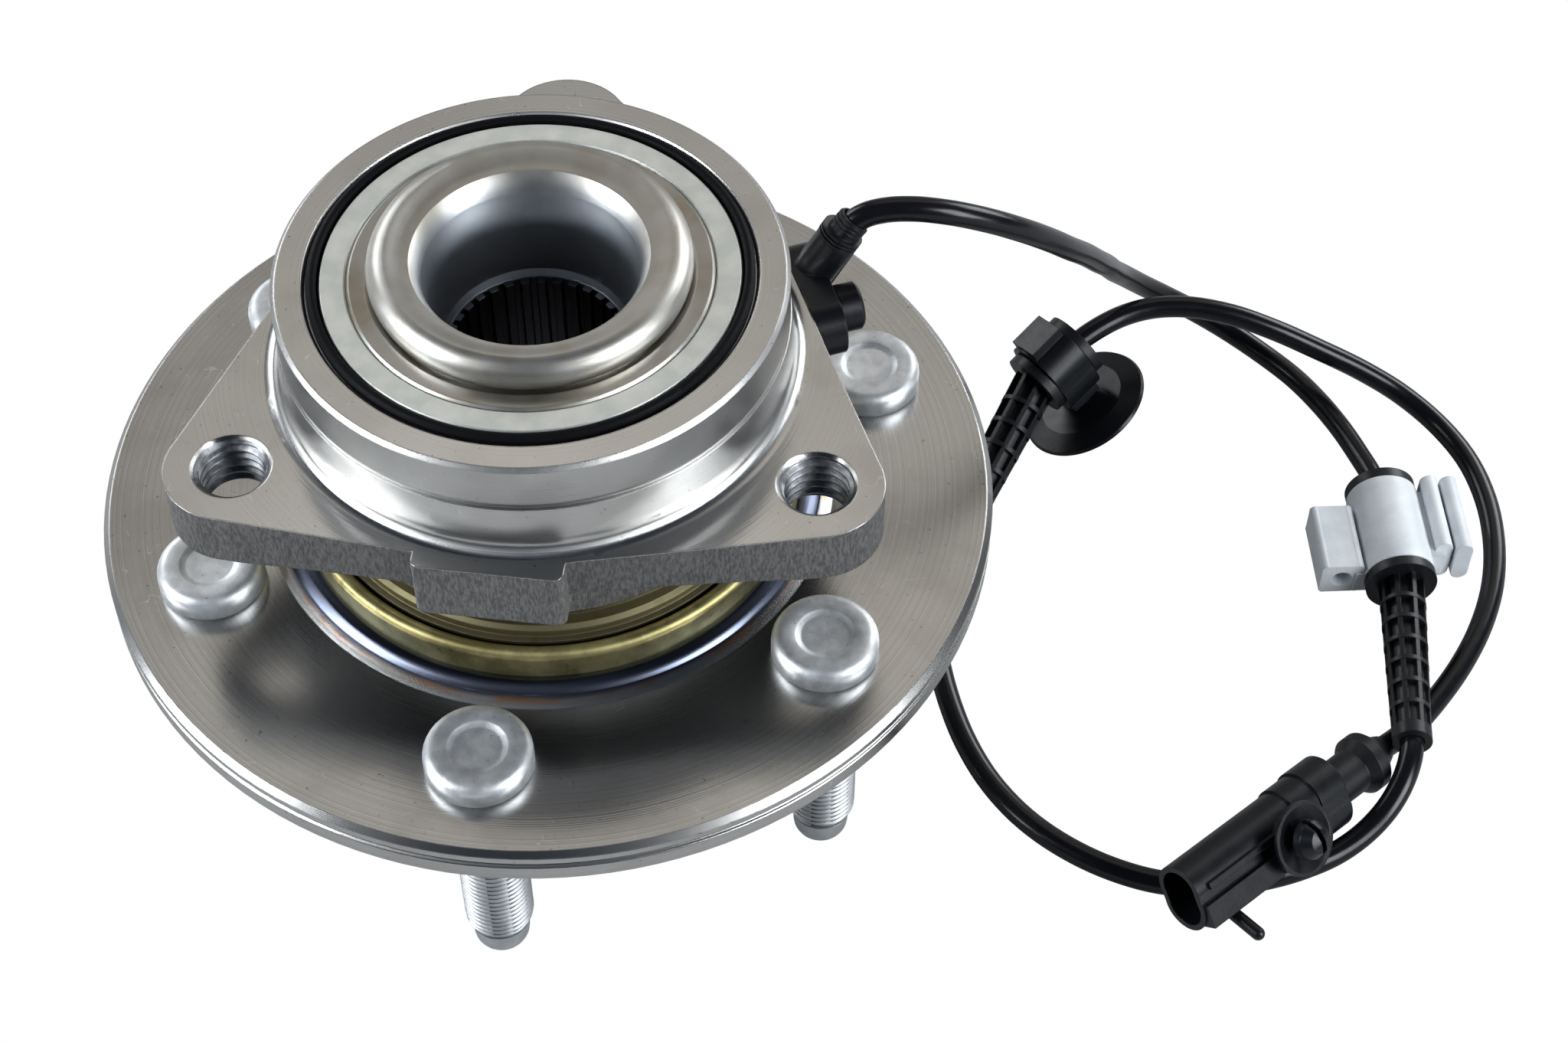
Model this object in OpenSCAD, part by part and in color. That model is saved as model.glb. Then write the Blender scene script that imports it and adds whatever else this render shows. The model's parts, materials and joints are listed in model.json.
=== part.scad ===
// Front wheel hub and bearing unit with a wheel speed sensor and its harness.
// Units are millimetres. The hub axis is Z, inboard is +Z, and z = 0 is the face the wheel bolts to.

/* [Wheel flange] */
// Diameter of the wheel flange
flange_d = 178.8; // [172:0.2:190]
// Thickness of the flange at its rim
flange_rim_t = 8.4; // [7:0.2:9.6]
// Thickness of the flange at the ground seat around the bearing
flange_seat_t = 10.2; // [9.8:0.2:12]
// Diameter of that ground seat
flange_seat_d = 109.6; // [104:0.2:113]
// Chamfer on the rim
flange_chamfer = 1.2; // [0.4:0.1:2]

/* [Wheel pilot] */
// Diameter that centres the wheel
pilot_d = 78.1; // [74:0.1:84]
// How far the pilot stands out of the flange
pilot_h = 15; // [8:0.5:20]
// Diameter of the recess for the axle nut
nut_recess_d = 61; // [54:0.5:64]
// Depth of that recess from the end of the pilot
nut_recess_h = 13; // [8:0.5:18]

/* [Wheel studs] */
// Number of studs
stud_count = 6; // [4:1:8]
// Diameter of the circle through the studs
stud_pcd = 139.7; // [136:0.1:146]
// Thread diameter of a stud, measured over the crests
stud_d = 13.8; // [11.8:0.1:14.2]
// Length of a stud below the wheel face
stud_len = 53; // [40:0.5:58]
// Diameter of the knurled shoulder pressed into the flange
stud_knurl_d = 14.6; // [14.4:0.1:16]
// Diameter of the stud head
stud_head_d = 20.8; // [19:0.1:23]
// Height of the stud head
stud_head_h = 5.4; // [4:0.1:7]
// Diameter of the dog point at the tip
stud_dog_d = 11.3; // [9:0.1:11.6]
// Length of the dog point
stud_dog_h = 6.2; // [3:0.1:8]
// Length over which the thread runs down to the dog point
stud_lead_h = 4.6; // [1:0.1:6]
// Angle of the first stud
stud_turn = -96; // [-180:1:180]

/* [Axle spline] */
// Number of spline teeth
spline_teeth = 33; // [27:1:36]
// Diameter across the bottoms of the spline grooves
spline_major_d = 34.8; // [33:0.1:35.2]
// Depth of the spline teeth
spline_depth = 1.2; // [0.8:0.1:1.6]
// Length of the splined bore
spline_len = 51; // [45:0.5:53]

/* [Bearing] */
// Diameter of a ball
ball_d = 12.7; // [12.1:0.1:13]
// Number of balls in each row
ball_count = 15; // [12:1:15]
// Diameter of the circle through the ball centres
ball_pitch_d = 76.4; // [75.6:0.1:77]
// Distance between the two rows
row_spacing = 31.5; // [31:0.1:33]
// Distance from the outboard end of the outer ring to the outboard row
row_inset = 9.8; // [9.4:0.1:10.4]
// Clearance between a ball and its races
race_gap = 0.12; // [0.08:0.01:0.2]
// Diameter of the seat of the separate inner ring
ring_seat_d = 55; // [52:0.2:57]
// Outer diameter of the inner ring where the seal runs
ring_land_d = 68.6; // [68:0.1:69.4]

/* [Outer ring] */
// Outer diameter of the barrel that enters the knuckle
barrel_d = 96.6; // [95:0.1:99]
// Length of the outer ring
outer_len = 52.8; // [52:0.1:54]
// Gap from the ground seat of the flange to the outer ring
end_gap = 6; // [5.6:0.1:7]
// Bore at both ends, where the seals are pressed in
seal_bore_d = 84; // [83.6:0.1:85]
// Bore between the two rows
middle_bore_d = 81.2; // [80.6:0.1:82]
// Wall around the balls, under the knuckle flange
lower_wall = 3.6; // [2.6:0.1:5]
// Wall of the outboard end, under the gold shield
shield_wall = 1.2; // [1:0.1:2]

/* [Knuckle flange] */
// Distance from the inboard end to the face that meets the knuckle
face_back = 21.6; // [20:0.1:23]
// Thickness of the flange at its bolt lobes
lobe_t = 12; // [10:0.1:14]
// Thickness of the flange close to the barrel
web_t = 9.4; // [8:0.1:10]
// Diameter of the circle through the threaded holes
bolt_circle_d = 125.2; // [122:0.1:128]
// Radius around each threaded hole
lobe_r = 12.7; // [11:0.1:14]
// Distance of the straight edges from the axis
web_r = 52.4; // [51.6:0.1:54]
// Bore of a threaded hole, at the bottoms of its thread grooves
bolt_bore_d = 14; // [10:0.1:14.4]
// Diameter of the countersink of a threaded hole
bolt_sink_d = 15.2; // [14.6:0.1:16.4]
// Width of the locating tab
tab_w = 28; // [20:0.5:34]
// Distance of the end of the tab from the axis
tab_reach = 54.8; // [54:0.1:58]
// Depth of the tab
tab_t = 13.4; // [11:0.1:15]
// Direction of the tab
tab_turn = -95; // [-105:1:-80]

/* [Sensor] */
// Direction in which the sensor enters the outer ring
sensor_turn = 20; // [18:0.5:22]
// Diameter of the sensor tip
sensor_tip_d = 8; // [7:0.1:8.4]
// Gap between the sensor tip and the toothed ring
air_gap = 0.8; // [0.5:0.1:1.5]
// Thickness of the sensor's mounting plate
plate_t = 6; // [5:0.1:6.6]
// Height of that plate
plate_h = 12; // [11:0.1:13]
// Number of teeth on the toothed ring
tone_teeth = 48; // [36:1:52]
// Outer diameter of the toothed ring
tone_d = 73; // [71.6:0.1:73.6]
// Height of the toothed ring
tone_h = 7; // [5:0.1:7.4]

/* [Harness] */
// Diameter of the cable
cable_d = 5; // [4.6:0.1:5.2]
// Diameter of the end discs of the rubber grommets
grommet_d = 15.6; // [14:0.1:16.4]
// Diameter of a ribbed sleeve at its wide end
sleeve_d = 10.2; // [9:0.1:11]
// Thickness of those end discs
disc_t = 2.2; // [1.8:0.1:2.6]
// Diameter of the neck that a clip holds
neck_d = 12.2; // [11.6:0.1:12.8]
// Wall of a clip around the neck
clip_wall = 1.7; // [1.2:0.1:2]
// Diameter of the round disc on the black clip
disc_d = 30; // [24:0.5:31]
// Width of the connector shell
shell_w = 14.6; // [13.4:0.1:16]
// Height of the connector shell
shell_h = 10.8; // [10:0.1:12]

/* [Fits] */
// Clearance between two fitted pieces of one body
fit = 0.05; // [0.03:0.01:0.1]
// Clearance between pieces that turn past each other
run = 0.5; // [0.35:0.05:0.6]

/* [Hidden] */
$fn = 96;

steel = [0.60, 0.60, 0.59];
zinc = [0.72, 0.74, 0.75];
gold = [0.66, 0.58, 0.25];
rubber = [0.06, 0.06, 0.07];
plastic = [0.09, 0.09, 0.10];

// Levels along the axis
ring_z0 = flange_seat_t + end_gap;
ring_z1 = ring_z0 + outer_len;
row_out_z = ring_z0 + row_inset;
row_in_z = row_out_z + row_spacing;
face_z = ring_z1 - face_back;
sensor_z = (row_out_z + row_in_z) / 2 + 0.4;
tone_z0 = sensor_z - tone_h / 2;
stud_tip_z = -stud_len;

// Radii of the raceways and of the hub's land between the rows
pitch_r = ball_pitch_d / 2;
race_r = ball_d / 2 + race_gap;
hub_land_r = pitch_r - 5.2;
ring_land_r = ring_land_d / 2;
ring_seat_r = ring_seat_d / 2;
hub_shoulder_r = ring_land_r + 1.2;
seal_bore_r = seal_bore_d / 2;
lower_r = seal_bore_r + lower_wall;
shield_r = seal_bore_r + shield_wall;
shoulder_z = tone_z0 + tone_h + 0.5;
ring_top_z = ring_z1 + 0.2;

// Rolled lip that clamps the inner ring, and the rounded mouth inside it
lip_r = 3.45;
lip_x = ring_seat_r - 0.6;
lip_z = ring_top_z + 2.3;
mouth_r = 6.5;
mouth_tilt = 6.6;
spline_z0 = -pilot_h + nut_recess_h;
spline_z1 = spline_z0 + spline_len;
spline_r = spline_major_d / 2;

// Height of the knuckle flange's parts
lobe_z0 = face_z - lobe_t;
web_z0 = face_z - web_t;
lobe_at = [-30, 90, 210];
bolt_r = bolt_circle_d / 2;

// Seals: the gold slinger stands inside the edge of the ground seat and has a rounded crest
seal_deep = 4.8;
slinger_r = flange_seat_d / 2 - 4.5;
crest_r = 1.6;
inboard_seal_x = seal_bore_r - 2.4;

// Sensor: distance of its flat from the axis and places along the flat
flat_d = web_r + 0.2;
plate_s0 = -12.4;
tip_s = 8;
screw_s = -4.2;
screw_z = sensor_z + 1.2;
exit_s = 5;
exit_tube_d = 8.4;
exit_d0 = flat_d + 3.6;
exit_z0 = sensor_z + 2.2;
screw_d = 6;
screw_in = 7;
screw_head_d = 9.6;
screw_head_h = 4.6;
bush_d = 8.6;

// Route of the cable, from the sensor to the connector
route = [
    [56.5, 25.5, 53.5], [57.3, 25.8, 54.7], [59.1, 26.6, 56.7], [62.1, 27.4, 58.5], [65.9, 27.9, 59.4],
    [71, 28.3, 59.5], [77.4, 29.2, 58], [85.6, 31.7, 53.6], [93.4, 35.8, 46.8], [99.5, 41.5, 38.5],
    [104.5, 48, 29.5], [108.6, 55.2, 20.5], [112.4, 63, 10.5], [115.6, 71.4, 0.5], [118.4, 80, -10],
    [122, 87.6, -19.5], [127.4, 93.3, -28.5], [134.1, 96.8, -36], [140.8, 97.8, -41.3],
    [148.4, 96.2, -45.4], [157.2, 91, -48], [164.6, 83.8, -48.6], [169.6, 76.2, -48.2],
    [173.7, 67.6, -47.2], [177, 58.6, -46.1], [179.2, 51, -44.8], [180.2, 46, -44.2],
    [181.3, 32.6, -44], [182.3, 19.4, -43.7], [181.8, 5, -43.1], [181, -9, -42.4], [180.2, -20, -41.9],
    [179.6, -26, -42.1], [177.8, -31.4, -43.6], [174.8, -36.4, -46], [170.6, -40.8, -48.4],
    [164.7, -45.2, -50.1], [156.8, -49.3, -50.6], [147.4, -52.6, -50.6], [137, -54.4, -50.6],
    [126.7, -54.1, -50.6], [117, -51.3, -50.6], [107.9, -46.6, -50.6], [99.4, -39.9, -50.6],
    [92.3, -31.2, -50.6], [87.1, -21.2, -50.6], [83.6, -10.8, -50.6], [81.5, -1.5, -50.6],
    [80.3, 7, -50.6], [80, 15.5, -50.4], [81, 23, -49.8], [83.2, 30.5, -48.5], [89.5, 42.7, -44],
    [96, 55.2, -39.4], [102.2, 67.2, -35], [106.8, 71.4, -32.4], [111.1, 75.3, -30],
    [116.6, 79.2, -28.2], [122.8, 82.6, -27.2], [129, 84.6, -26.8], [135.4, 85.4, -26.9],
    [147, 85, -28.6], [157.2, 83.7, -31.8], [168.3, 82.4, -36.8], [179.4, 80.9, -42.2],
    [188, 78.4, -46.4], [196.4, 72.4, -49.6], [202.6, 62.7, -50.6], [205.8, 50.2, -50.6],
    [206.2, 38, -50.6], [204.5, 26, -50.6], [200.6, 14.4, -50.6], [195.1, 3.7, -50.6],
    [189, -5.4, -50.6], [183.4, -12.6, -50.2], [178.7, -17.8, -48.4], [174.5, -22.2, -46.3]
];

// Places of the rubber grommets: outer disc, inner disc and end of the ribbed sleeve
grommet_a = [[180.2, 46.9, -44.2], [182.4, 19.4, -43.7], [180, -23.5, -41.7]];
grommet_b = [[111.9, 76, -29.6], [102.2, 67.2, -35], [83.2, 30.5, -48.5]];
connector_axis = [[174.5, -22.2, -46.3], [129.4, -64.8, -39.3]];

// Direction from the second clip to the disc on its stem
stem_side = [0.49, -0.03, -0.87];

function unit(v) = v / norm(v);
function heading(a, b) = atan2(b.y - a.y, b.x - a.x);
function lean(a, b) = acos((b.z - a.z) / norm(b - a));
function polar(r, a) = [r * cos(a), r * sin(a)];

// Places children so that their Z axis runs from a to b. Their -X side is then the upper side.
module along(a, b) {
    translate(a) rotate([0, lean(a, b), heading(a, b)]) children();
}

// The same with a chosen side: their Y axis points to that side
module framed(a, b, side) {
    z = unit(b - a);
    y = unit(side - (side * z) * z);
    x = cross(y, z);
    multmatrix([[x.x, y.x, z.x, a.x], [x.y, y.y, z.y, a.y], [x.z, y.z, z.z, a.z], [0, 0, 0, 1]])
        children();
}

// Ring between two radii
module tube(r_out, r_in, h) {
    difference() {
        cylinder(r = r_out, h = h);
        translate([0, 0, -1]) cylinder(r = r_in, h = h + 2);
    }
}

// Solid of revolution about the hub axis from [radius, z] points
module turned(points) {
    rotate_extrude() polygon(points);
}

// Section of the hub in the half plane
module hub_section() {
    rim_r = flange_d / 2;
    seat_r = flange_seat_d / 2;
    pilot_r = pilot_d / 2;
    nut_r = nut_recess_d / 2;
    mouth_c = lip_z + lip_r - mouth_r;
    mouth_x = lip_x - mouth_r * cos(mouth_tilt);
    mouth_z = mouth_c + mouth_r * sin(mouth_tilt);
    mouth_r0 = mouth_x - (mouth_z - spline_z1 - 1.6) * tan(mouth_tilt);
    difference() {
        union() {
            polygon([
                [nut_r, -pilot_h], [pilot_r - 2, -pilot_h], [pilot_r, -pilot_h + 2.6],
                [pilot_r, -0.8], [pilot_r + 0.8, 0], [rim_r - 0.8, 0], [rim_r, 0.8],
                [rim_r, flange_rim_t - flange_chamfer], [rim_r - flange_chamfer, flange_rim_t],
                [seat_r + 2.4, flange_rim_t + 0.5], [seat_r, flange_seat_t],
                [hub_shoulder_r + 1.6, flange_seat_t], [hub_shoulder_r, flange_seat_t + 1.6],
                [hub_shoulder_r, row_out_z], [hub_land_r, row_out_z], [hub_land_r, shoulder_z],
                [ring_seat_r, shoulder_z], [ring_seat_r, ring_top_z], [lip_x, ring_top_z + 0.6],
                [mouth_x, mouth_z], [mouth_r0, spline_z1 + 1.6],
                [spline_r + 0.2, spline_z1], [spline_r - 3, spline_z1], [spline_r - 3, spline_z0],
                [nut_r - 1, spline_z0], [nut_r, spline_z0 - 1]
            ]);
            intersection() {
                translate([lip_x, lip_z]) circle(r = lip_r);
                translate([lip_x, ring_top_z]) square([2 * lip_r, 2 * lip_r + 2]);
            }
            intersection() {
                translate([lip_x, mouth_c]) circle(r = mouth_r);
                translate([lip_x - 2 * mouth_r, mouth_c]) square([2 * mouth_r, 2 * mouth_r]);
            }
        }
        translate([pitch_r, row_out_z]) circle(r = race_r);
    }
}

// Plan of the splined bore
module spline_plan() {
    root_r = spline_r - spline_depth;
    step = 360 / spline_teeth;
    circle(r = root_r);
    for (i = [0 : spline_teeth - 1])
        rotate(i * step)
            polygon([polar(root_r - 1, -step * 0.3), polar(spline_r, -step * 0.19),
                     polar(spline_r, step * 0.19), polar(root_r - 1, step * 0.3)]);
}

module at_studs() {
    for (i = [0 : stud_count - 1])
        rotate(stud_turn + i * 360 / stud_count) translate([stud_pcd / 2, 0, 0]) children();
}

module hub_spindle() {
    color(steel) difference() {
        rotate_extrude($fn = 180) hub_section();
        translate([0, 0, spline_z0 - 1]) linear_extrude(height = spline_len + 2) spline_plan();
        at_studs() translate([0, 0, -1]) cylinder(d = stud_knurl_d + 2 * fit, h = flange_seat_t + 2);
        at_studs() translate([0, 0, -0.01]) cylinder(d1 = stud_knurl_d + 2, d2 = stud_knurl_d, h = 1);
    }
}

module inner_ring() {
    color(steel) rotate_extrude($fn = 180) difference() {
        polygon([
            [ring_seat_r + fit, shoulder_z + fit], [hub_land_r, shoulder_z + fit],
            [hub_land_r, row_in_z], [ring_land_r, row_in_z], [ring_land_r, ring_top_z - 0.5],
            [ring_land_r - 0.5, ring_top_z], [ring_seat_r + 3.4, ring_top_z],
            [ring_seat_r + fit, ring_top_z - 1.4]
        ]);
        translate([pitch_r, row_in_z]) circle(r = race_r);
    }
}

// One stud, with its head up and the underside of the head on the flange
module stud() {
    head_r = stud_head_d / 2;
    edge = min(2.2, stud_head_h / 2);
    under = flange_rim_t + 0.55;
    top = under + stud_head_h;
    dish_r = head_r * 0.44;
    thread_r = stud_d / 2;
    dog_r = stud_dog_d / 2;
    nose = min(dog_r * 0.48, stud_dog_h - 0.4);
    rotate_extrude() difference() {
        union() {
            translate([0, under]) square([head_r - edge, stud_head_h]);
            translate([0, under]) square([head_r, stud_head_h - edge]);
            translate([head_r - edge, top - edge]) circle(r = edge);
            polygon([
                [0, under], [stud_knurl_d / 2, under], [stud_knurl_d / 2, 1.2], [thread_r, 0],
                [thread_r, stud_tip_z + stud_dog_h + stud_lead_h], [dog_r, stud_tip_z + stud_dog_h],
                [dog_r, stud_tip_z + nose], [0, stud_tip_z + nose]
            ]);
            translate([0, stud_tip_z]) square([dog_r - nose, nose]);
            translate([dog_r - nose, stud_tip_z + nose]) circle(r = nose);
        }
        polygon([[0, top - 0.6], [dish_r, top - 0.6], [dish_r + 1.4, top + 0.1], [0, top + 0.1]]);
    }
}

module wheel_studs() {
    color(zinc) at_studs() stud();
}

module tone_ring() {
    tip_r = tone_d / 2;
    step = 360 / tone_teeth;
    color(steel) translate([0, 0, tone_z0]) difference() {
        cylinder(r = tip_r, h = tone_h);
        translate([0, 0, -1]) cylinder(r = hub_land_r + fit, h = tone_h + 2);
        for (i = [0 : tone_teeth - 1])
            rotate(i * step) translate([tip_r - 1.3, -tip_r * sin(step) / 4, -1])
                cube([3, tip_r * sin(step) / 2, tone_h + 2]);
    }
}

// Pale ring pressed on the inner ring, which turns in front of the inboard seal
module inboard_slinger() {
    r0 = ring_land_r + fit;
    r1 = inboard_seal_x - run + 0.2;
    color(zinc) turned([
        [r0, ring_z1 - 4.6], [r0 + 0.8, ring_z1 - 4.6], [r0 + 0.8, ring_z1 - 1.2],
        [r1, ring_z1 - 1.2], [r1, ring_z1 - 0.3], [r1 - 0.3, ring_z1], [r0 + 0.4, ring_z1],
        [r0, ring_z1 - 0.4]
    ]);
}

// Gold ring that stands on the ground seat of the flange and turns with it
module outboard_slinger() {
    z0 = flange_seat_t;
    crest_z = ring_z0 + 0.4;
    crest_x = slinger_r - crest_r;
    color(gold) rotate_extrude($fn = 180) difference() {
        union() {
            polygon([
                [hub_shoulder_r + 2, z0], [slinger_r, z0], [slinger_r, crest_z - 1.6],
                [slinger_r - 1.6, crest_z], [slinger_r - 2.6, crest_z - 0.4], [slinger_r - 2.6, crest_z - 1.2],
                [slinger_r - 1.8, crest_z - 1.2], [slinger_r - 0.8, crest_z - 2.2], [slinger_r - 0.8, z0 + 0.8],
                [hub_shoulder_r + 2, z0 + 0.8]
            ]);
            translate([crest_x, crest_z - crest_r]) circle(r = crest_r);
        }
        translate([crest_x, crest_z - crest_r]) circle(r = crest_r / 2);
        translate([slinger_r - 5, crest_z - 4]) square([3.4, 2.8]);
        translate([slinger_r - 3.4, crest_z - 4]) square([2.6, 2.4]);
    }
}

// Section of the outer ring without its flange
module outer_section() {
    barrel_r = barrel_d / 2;
    seat_r = shield_r;
    mid_r = middle_bore_d / 2;
    groove_z = ring_z1 - 10.8;
    difference() {
        polygon([
            [seal_bore_r, ring_z0 + 0.5], [seal_bore_r + 0.5, ring_z0], [seat_r - 0.4, ring_z0],
            [seat_r, ring_z0 + 0.4], [seat_r, ring_z0 + 5.4], [lower_r, ring_z0 + 7.6],
            [lower_r, face_z - 1], [barrel_r + 3.8, face_z - 1], [barrel_r + 3.8, face_z + 3],
            [barrel_r + 0.8, face_z + 3], [barrel_r + 0.2, groove_z], [barrel_r - 0.5, groove_z], [barrel_r - 0.5, groove_z + 0.9],
            [barrel_r, groove_z + 1.4], [barrel_r, ring_z1 - 0.8], [barrel_r - 0.8, ring_z1],
            [seal_bore_r + 0.6, ring_z1], [seal_bore_r, ring_z1 - 0.6],
            [seal_bore_r, row_in_z], [mid_r, row_in_z], [mid_r, row_out_z], [seal_bore_r, row_out_z]
        ]);
        translate([barrel_r + 3.8, face_z + 3]) circle(r = 3);
        translate([pitch_r, row_in_z]) circle(r = race_r);
        translate([pitch_r, row_out_z]) circle(r = race_r);
    }
}

// Outline of the knuckle flange: straight edges between the lobes and the round middle
module knuckle_outline() {
    swing = acos((web_r - lobe_r) / bolt_r);
    inside = 0.06;
    circle(r = web_r, $fn = 180);
    for (a = lobe_at) {
        translate(polar(bolt_r, a)) circle(r = lobe_r);
        polygon([
            [0, 0], polar(web_r - inside, a - swing),
            polar(bolt_r, a) + polar(lobe_r - inside, a - swing), polar(bolt_r, a),
            polar(bolt_r, a) + polar(lobe_r - inside, a + swing), polar(web_r - inside, a + swing)
        ]);
    }
}

// Knuckle flange, thinner towards the barrel on its underside
module knuckle_flange() {
    difference() {
        translate([0, 0, lobe_z0]) linear_extrude(height = lobe_t) knuckle_outline();
        turned([
            [lower_r - 2, lobe_z0 - 1], [bolt_r + 6, lobe_z0 - 1], [bolt_r + 6, lobe_z0],
            [web_r, web_z0], [lower_r - 2, web_z0]
        ]);
    }
}

// Locating tab with rounded corners
module locating_tab() {
    round_r = 1.6;
    drop = face_z - tab_t;
    rotate(tab_turn) translate([0, 0, drop]) linear_extrude(height = tab_t) {
        translate([lower_r - 2, -tab_w / 2]) square([tab_reach - lower_r + 2 - round_r, tab_w]);
        translate([tab_reach - 6, -tab_w / 2 + round_r]) square([6, tab_w - 2 * round_r]);
        for (side = [-1, 1])
            translate([tab_reach - round_r, side * (tab_w / 2 - round_r)]) circle(r = round_r);
    }
}

// Places children on the sensor flat: X is along the flat, Y is up and Z points away from the hub
module on_flat(s, z, d) {
    rotate(sensor_turn) translate([d, s, z]) rotate([90, 0, 90]) children();
}

// Cast pad that carries the sensor
module sensor_pad() {
    low = sensor_z - plate_h / 2 - 1.4;
    first = plate_s0 - 2.6;
    last = tip_s + plate_h / 2 + 3;
    rotate(sensor_turn) translate([lower_r - 3, first, low])
        cube([flat_d - lower_r + 3, last - first, face_z - low]);
}

// Room in front of the sensor flat, milled out of the knuckle flange
module sensor_room() {
    first = plate_s0 - 0.6;
    last = tip_s + plate_h / 2 + 1;
    rotate(sensor_turn) translate([flat_d, first, sensor_z - plate_h])
        cube([2 * lobe_r, last - first, 2 * plate_h]);
}

module outer_ring() {
    color(steel) difference() {
        union() {
            rotate_extrude($fn = 180) outer_section();
            difference() {
                union() {
                    knuckle_flange();
                    locating_tab();
                    sensor_pad();
                }
                translate([0, 0, ring_z0]) cylinder(r = lower_r - 0.6, h = outer_len);
            }
        }
        for (a = lobe_at) translate(polar(bolt_r, a)) {
            translate([0, 0, lobe_z0 - 1]) cylinder(d = bolt_bore_d, h = lobe_t + 2);
            translate([0, 0, face_z - (bolt_sink_d - bolt_bore_d) / 2])
                cylinder(d1 = bolt_bore_d, d2 = bolt_sink_d + 0.02, h = (bolt_sink_d - bolt_bore_d) / 2 + 0.01);
        }
        on_flat(tip_s, sensor_z, pitch_r - 6) cylinder(d = sensor_tip_d + 2 * fit, h = flat_d - pitch_r + 7);
        on_flat(screw_s, screw_z, flat_d - screw_in - 1) cylinder(d = screw_d + 2 * fit, h = screw_in + 2);
        sensor_room();
    }
}

// Metal case of the inboard seal, pressed in the bore
module inboard_seal_case() {
    r = seal_bore_r - fit;
    z0 = ring_z1 - seal_deep;
    color(zinc) turned([
        [ring_land_r + 2.2, z0], [r, z0], [r, ring_z1 - 1], [r - 0.8, ring_z1 - 1],
        [r - 0.8, z0 + 0.8], [ring_land_r + 2.2, z0 + 0.8]
    ]);
}

// Black rubber of the inboard seal, with the lip that shows around the pale ring
module inboard_seal_lip() {
    r = seal_bore_r - fit - 0.8 - fit;
    x = inboard_seal_x + 0.1;
    z0 = ring_z1 - seal_deep + 0.8 + fit;
    color(rubber) rotate_extrude($fn = 180) {
        polygon([
            [ring_land_r + 2.4, z0], [r, z0], [r, ring_z1 - 1 + fit], [seal_bore_r - 0.3, ring_z1 - 1 + fit],
            [seal_bore_r - 0.3, ring_z1 + 0.1], [x + 0.9, ring_z1 + 0.8], [x, ring_z1 + 0.3],
            [x, ring_z1 - 1.6], [r - 0.9, ring_z1 - 2.2], [r - 0.9, z0 + 0.9],
            [ring_land_r + 3, z0 + 0.9], [ring_land_r + 1.6, z0 + 2], [ring_land_r + 1.3, z0 + 1.3]
        ]);
        translate([x + 0.9, ring_z1 - 0.1]) circle(r = 0.9);
    }
}

// Gold shield around the outboard end of the outer ring
module outboard_seal_case() {
    r = shield_r + fit;
    reach = slinger_r - 2 * crest_r - run;
    low = ring_z0 - fit;
    color(gold) turned([
        [seal_bore_r - fit - 0.8, ring_z0 + 3], [seal_bore_r - fit - 0.8, low - 0.8], [reach, low - 0.8],
        [reach, low], [r + 2.1, low + 0.1], [r + 1.7, low + 1.2], [r + 0.8, low + 1.9],
        [r + 0.8, low + 4.8], [r, low + 4.8], [r, low], [seal_bore_r - fit, low],
        [seal_bore_r - fit, ring_z0 + 3]
    ]);
}

// Rubber lips of the outboard seal
module outboard_seal_lip() {
    r = seal_bore_r - fit - 0.8 - fit;
    x = hub_shoulder_r + 0.4;
    z0 = ring_z0 - 0.8;
    color(rubber) turned([
        [x + 1.6, z0], [r, z0], [r, z0 + 3], [x + 1.8, z0 + 3], [x, z0 + 1.8], [x, z0 + 1.2]
    ]);
}

// Crown cage: a ring between the rows with pockets that hold the balls
module cage(row_z, side) {
    r_in = pitch_r - 1.7;
    r_out = middle_bore_d / 2 - run;
    back = ball_d / 2 + 1.8;
    front = 2.2;
    z0 = side > 0 ? row_z - back : row_z - front;
    color([0.80, 0.74, 0.55]) difference() {
        translate([0, 0, z0]) tube(r_out, r_in, back + front);
        for (i = [0 : ball_count - 1])
            rotate(i * 360 / ball_count) translate([pitch_r, 0, row_z]) sphere(r = ball_d / 2 + 0.15);
    }
}

module balls(row_z) {
    color([0.85, 0.86, 0.88]) for (i = [0 : ball_count - 1])
        rotate(i * 360 / ball_count) translate([pitch_r, 0, row_z]) sphere(d = ball_d);
}

module inboard_cage() {
    cage(row_in_z, 1);
}

module inboard_balls() {
    balls(row_in_z);
}

module outboard_cage() {
    cage(row_out_z, -1);
}

module outboard_balls() {
    balls(row_out_z);
}

// Plan of the sensor's plate, seen from outside, with round ends
module plate_plan() {
    end_r = plate_h / 2;
    translate([plate_s0 + end_r, -end_r]) square([tip_s - plate_s0 - end_r, plate_h]);
    translate([plate_s0 + end_r, 0]) circle(r = end_r);
    translate([tip_s, 0]) circle(r = end_r);
}

// Axis of the tube in which the cable leaves the sensor
exit_a = [exit_d0 * cos(sensor_turn) - exit_s * sin(sensor_turn),
          exit_d0 * sin(sensor_turn) + exit_s * cos(sensor_turn), exit_z0];
exit_b = route[0];

// Web between the mounting plate and that tube
module exit_web() {
    w = 5.2;
    rotate(sensor_turn) translate([flat_d, exit_s + w / 2, sensor_z]) rotate([90, 0, 0])
        linear_extrude(height = w)
            polygon([[1, -1], [plate_t, -1], [12, 8.6], [6, 6], [1, 5]]);
}

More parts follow.
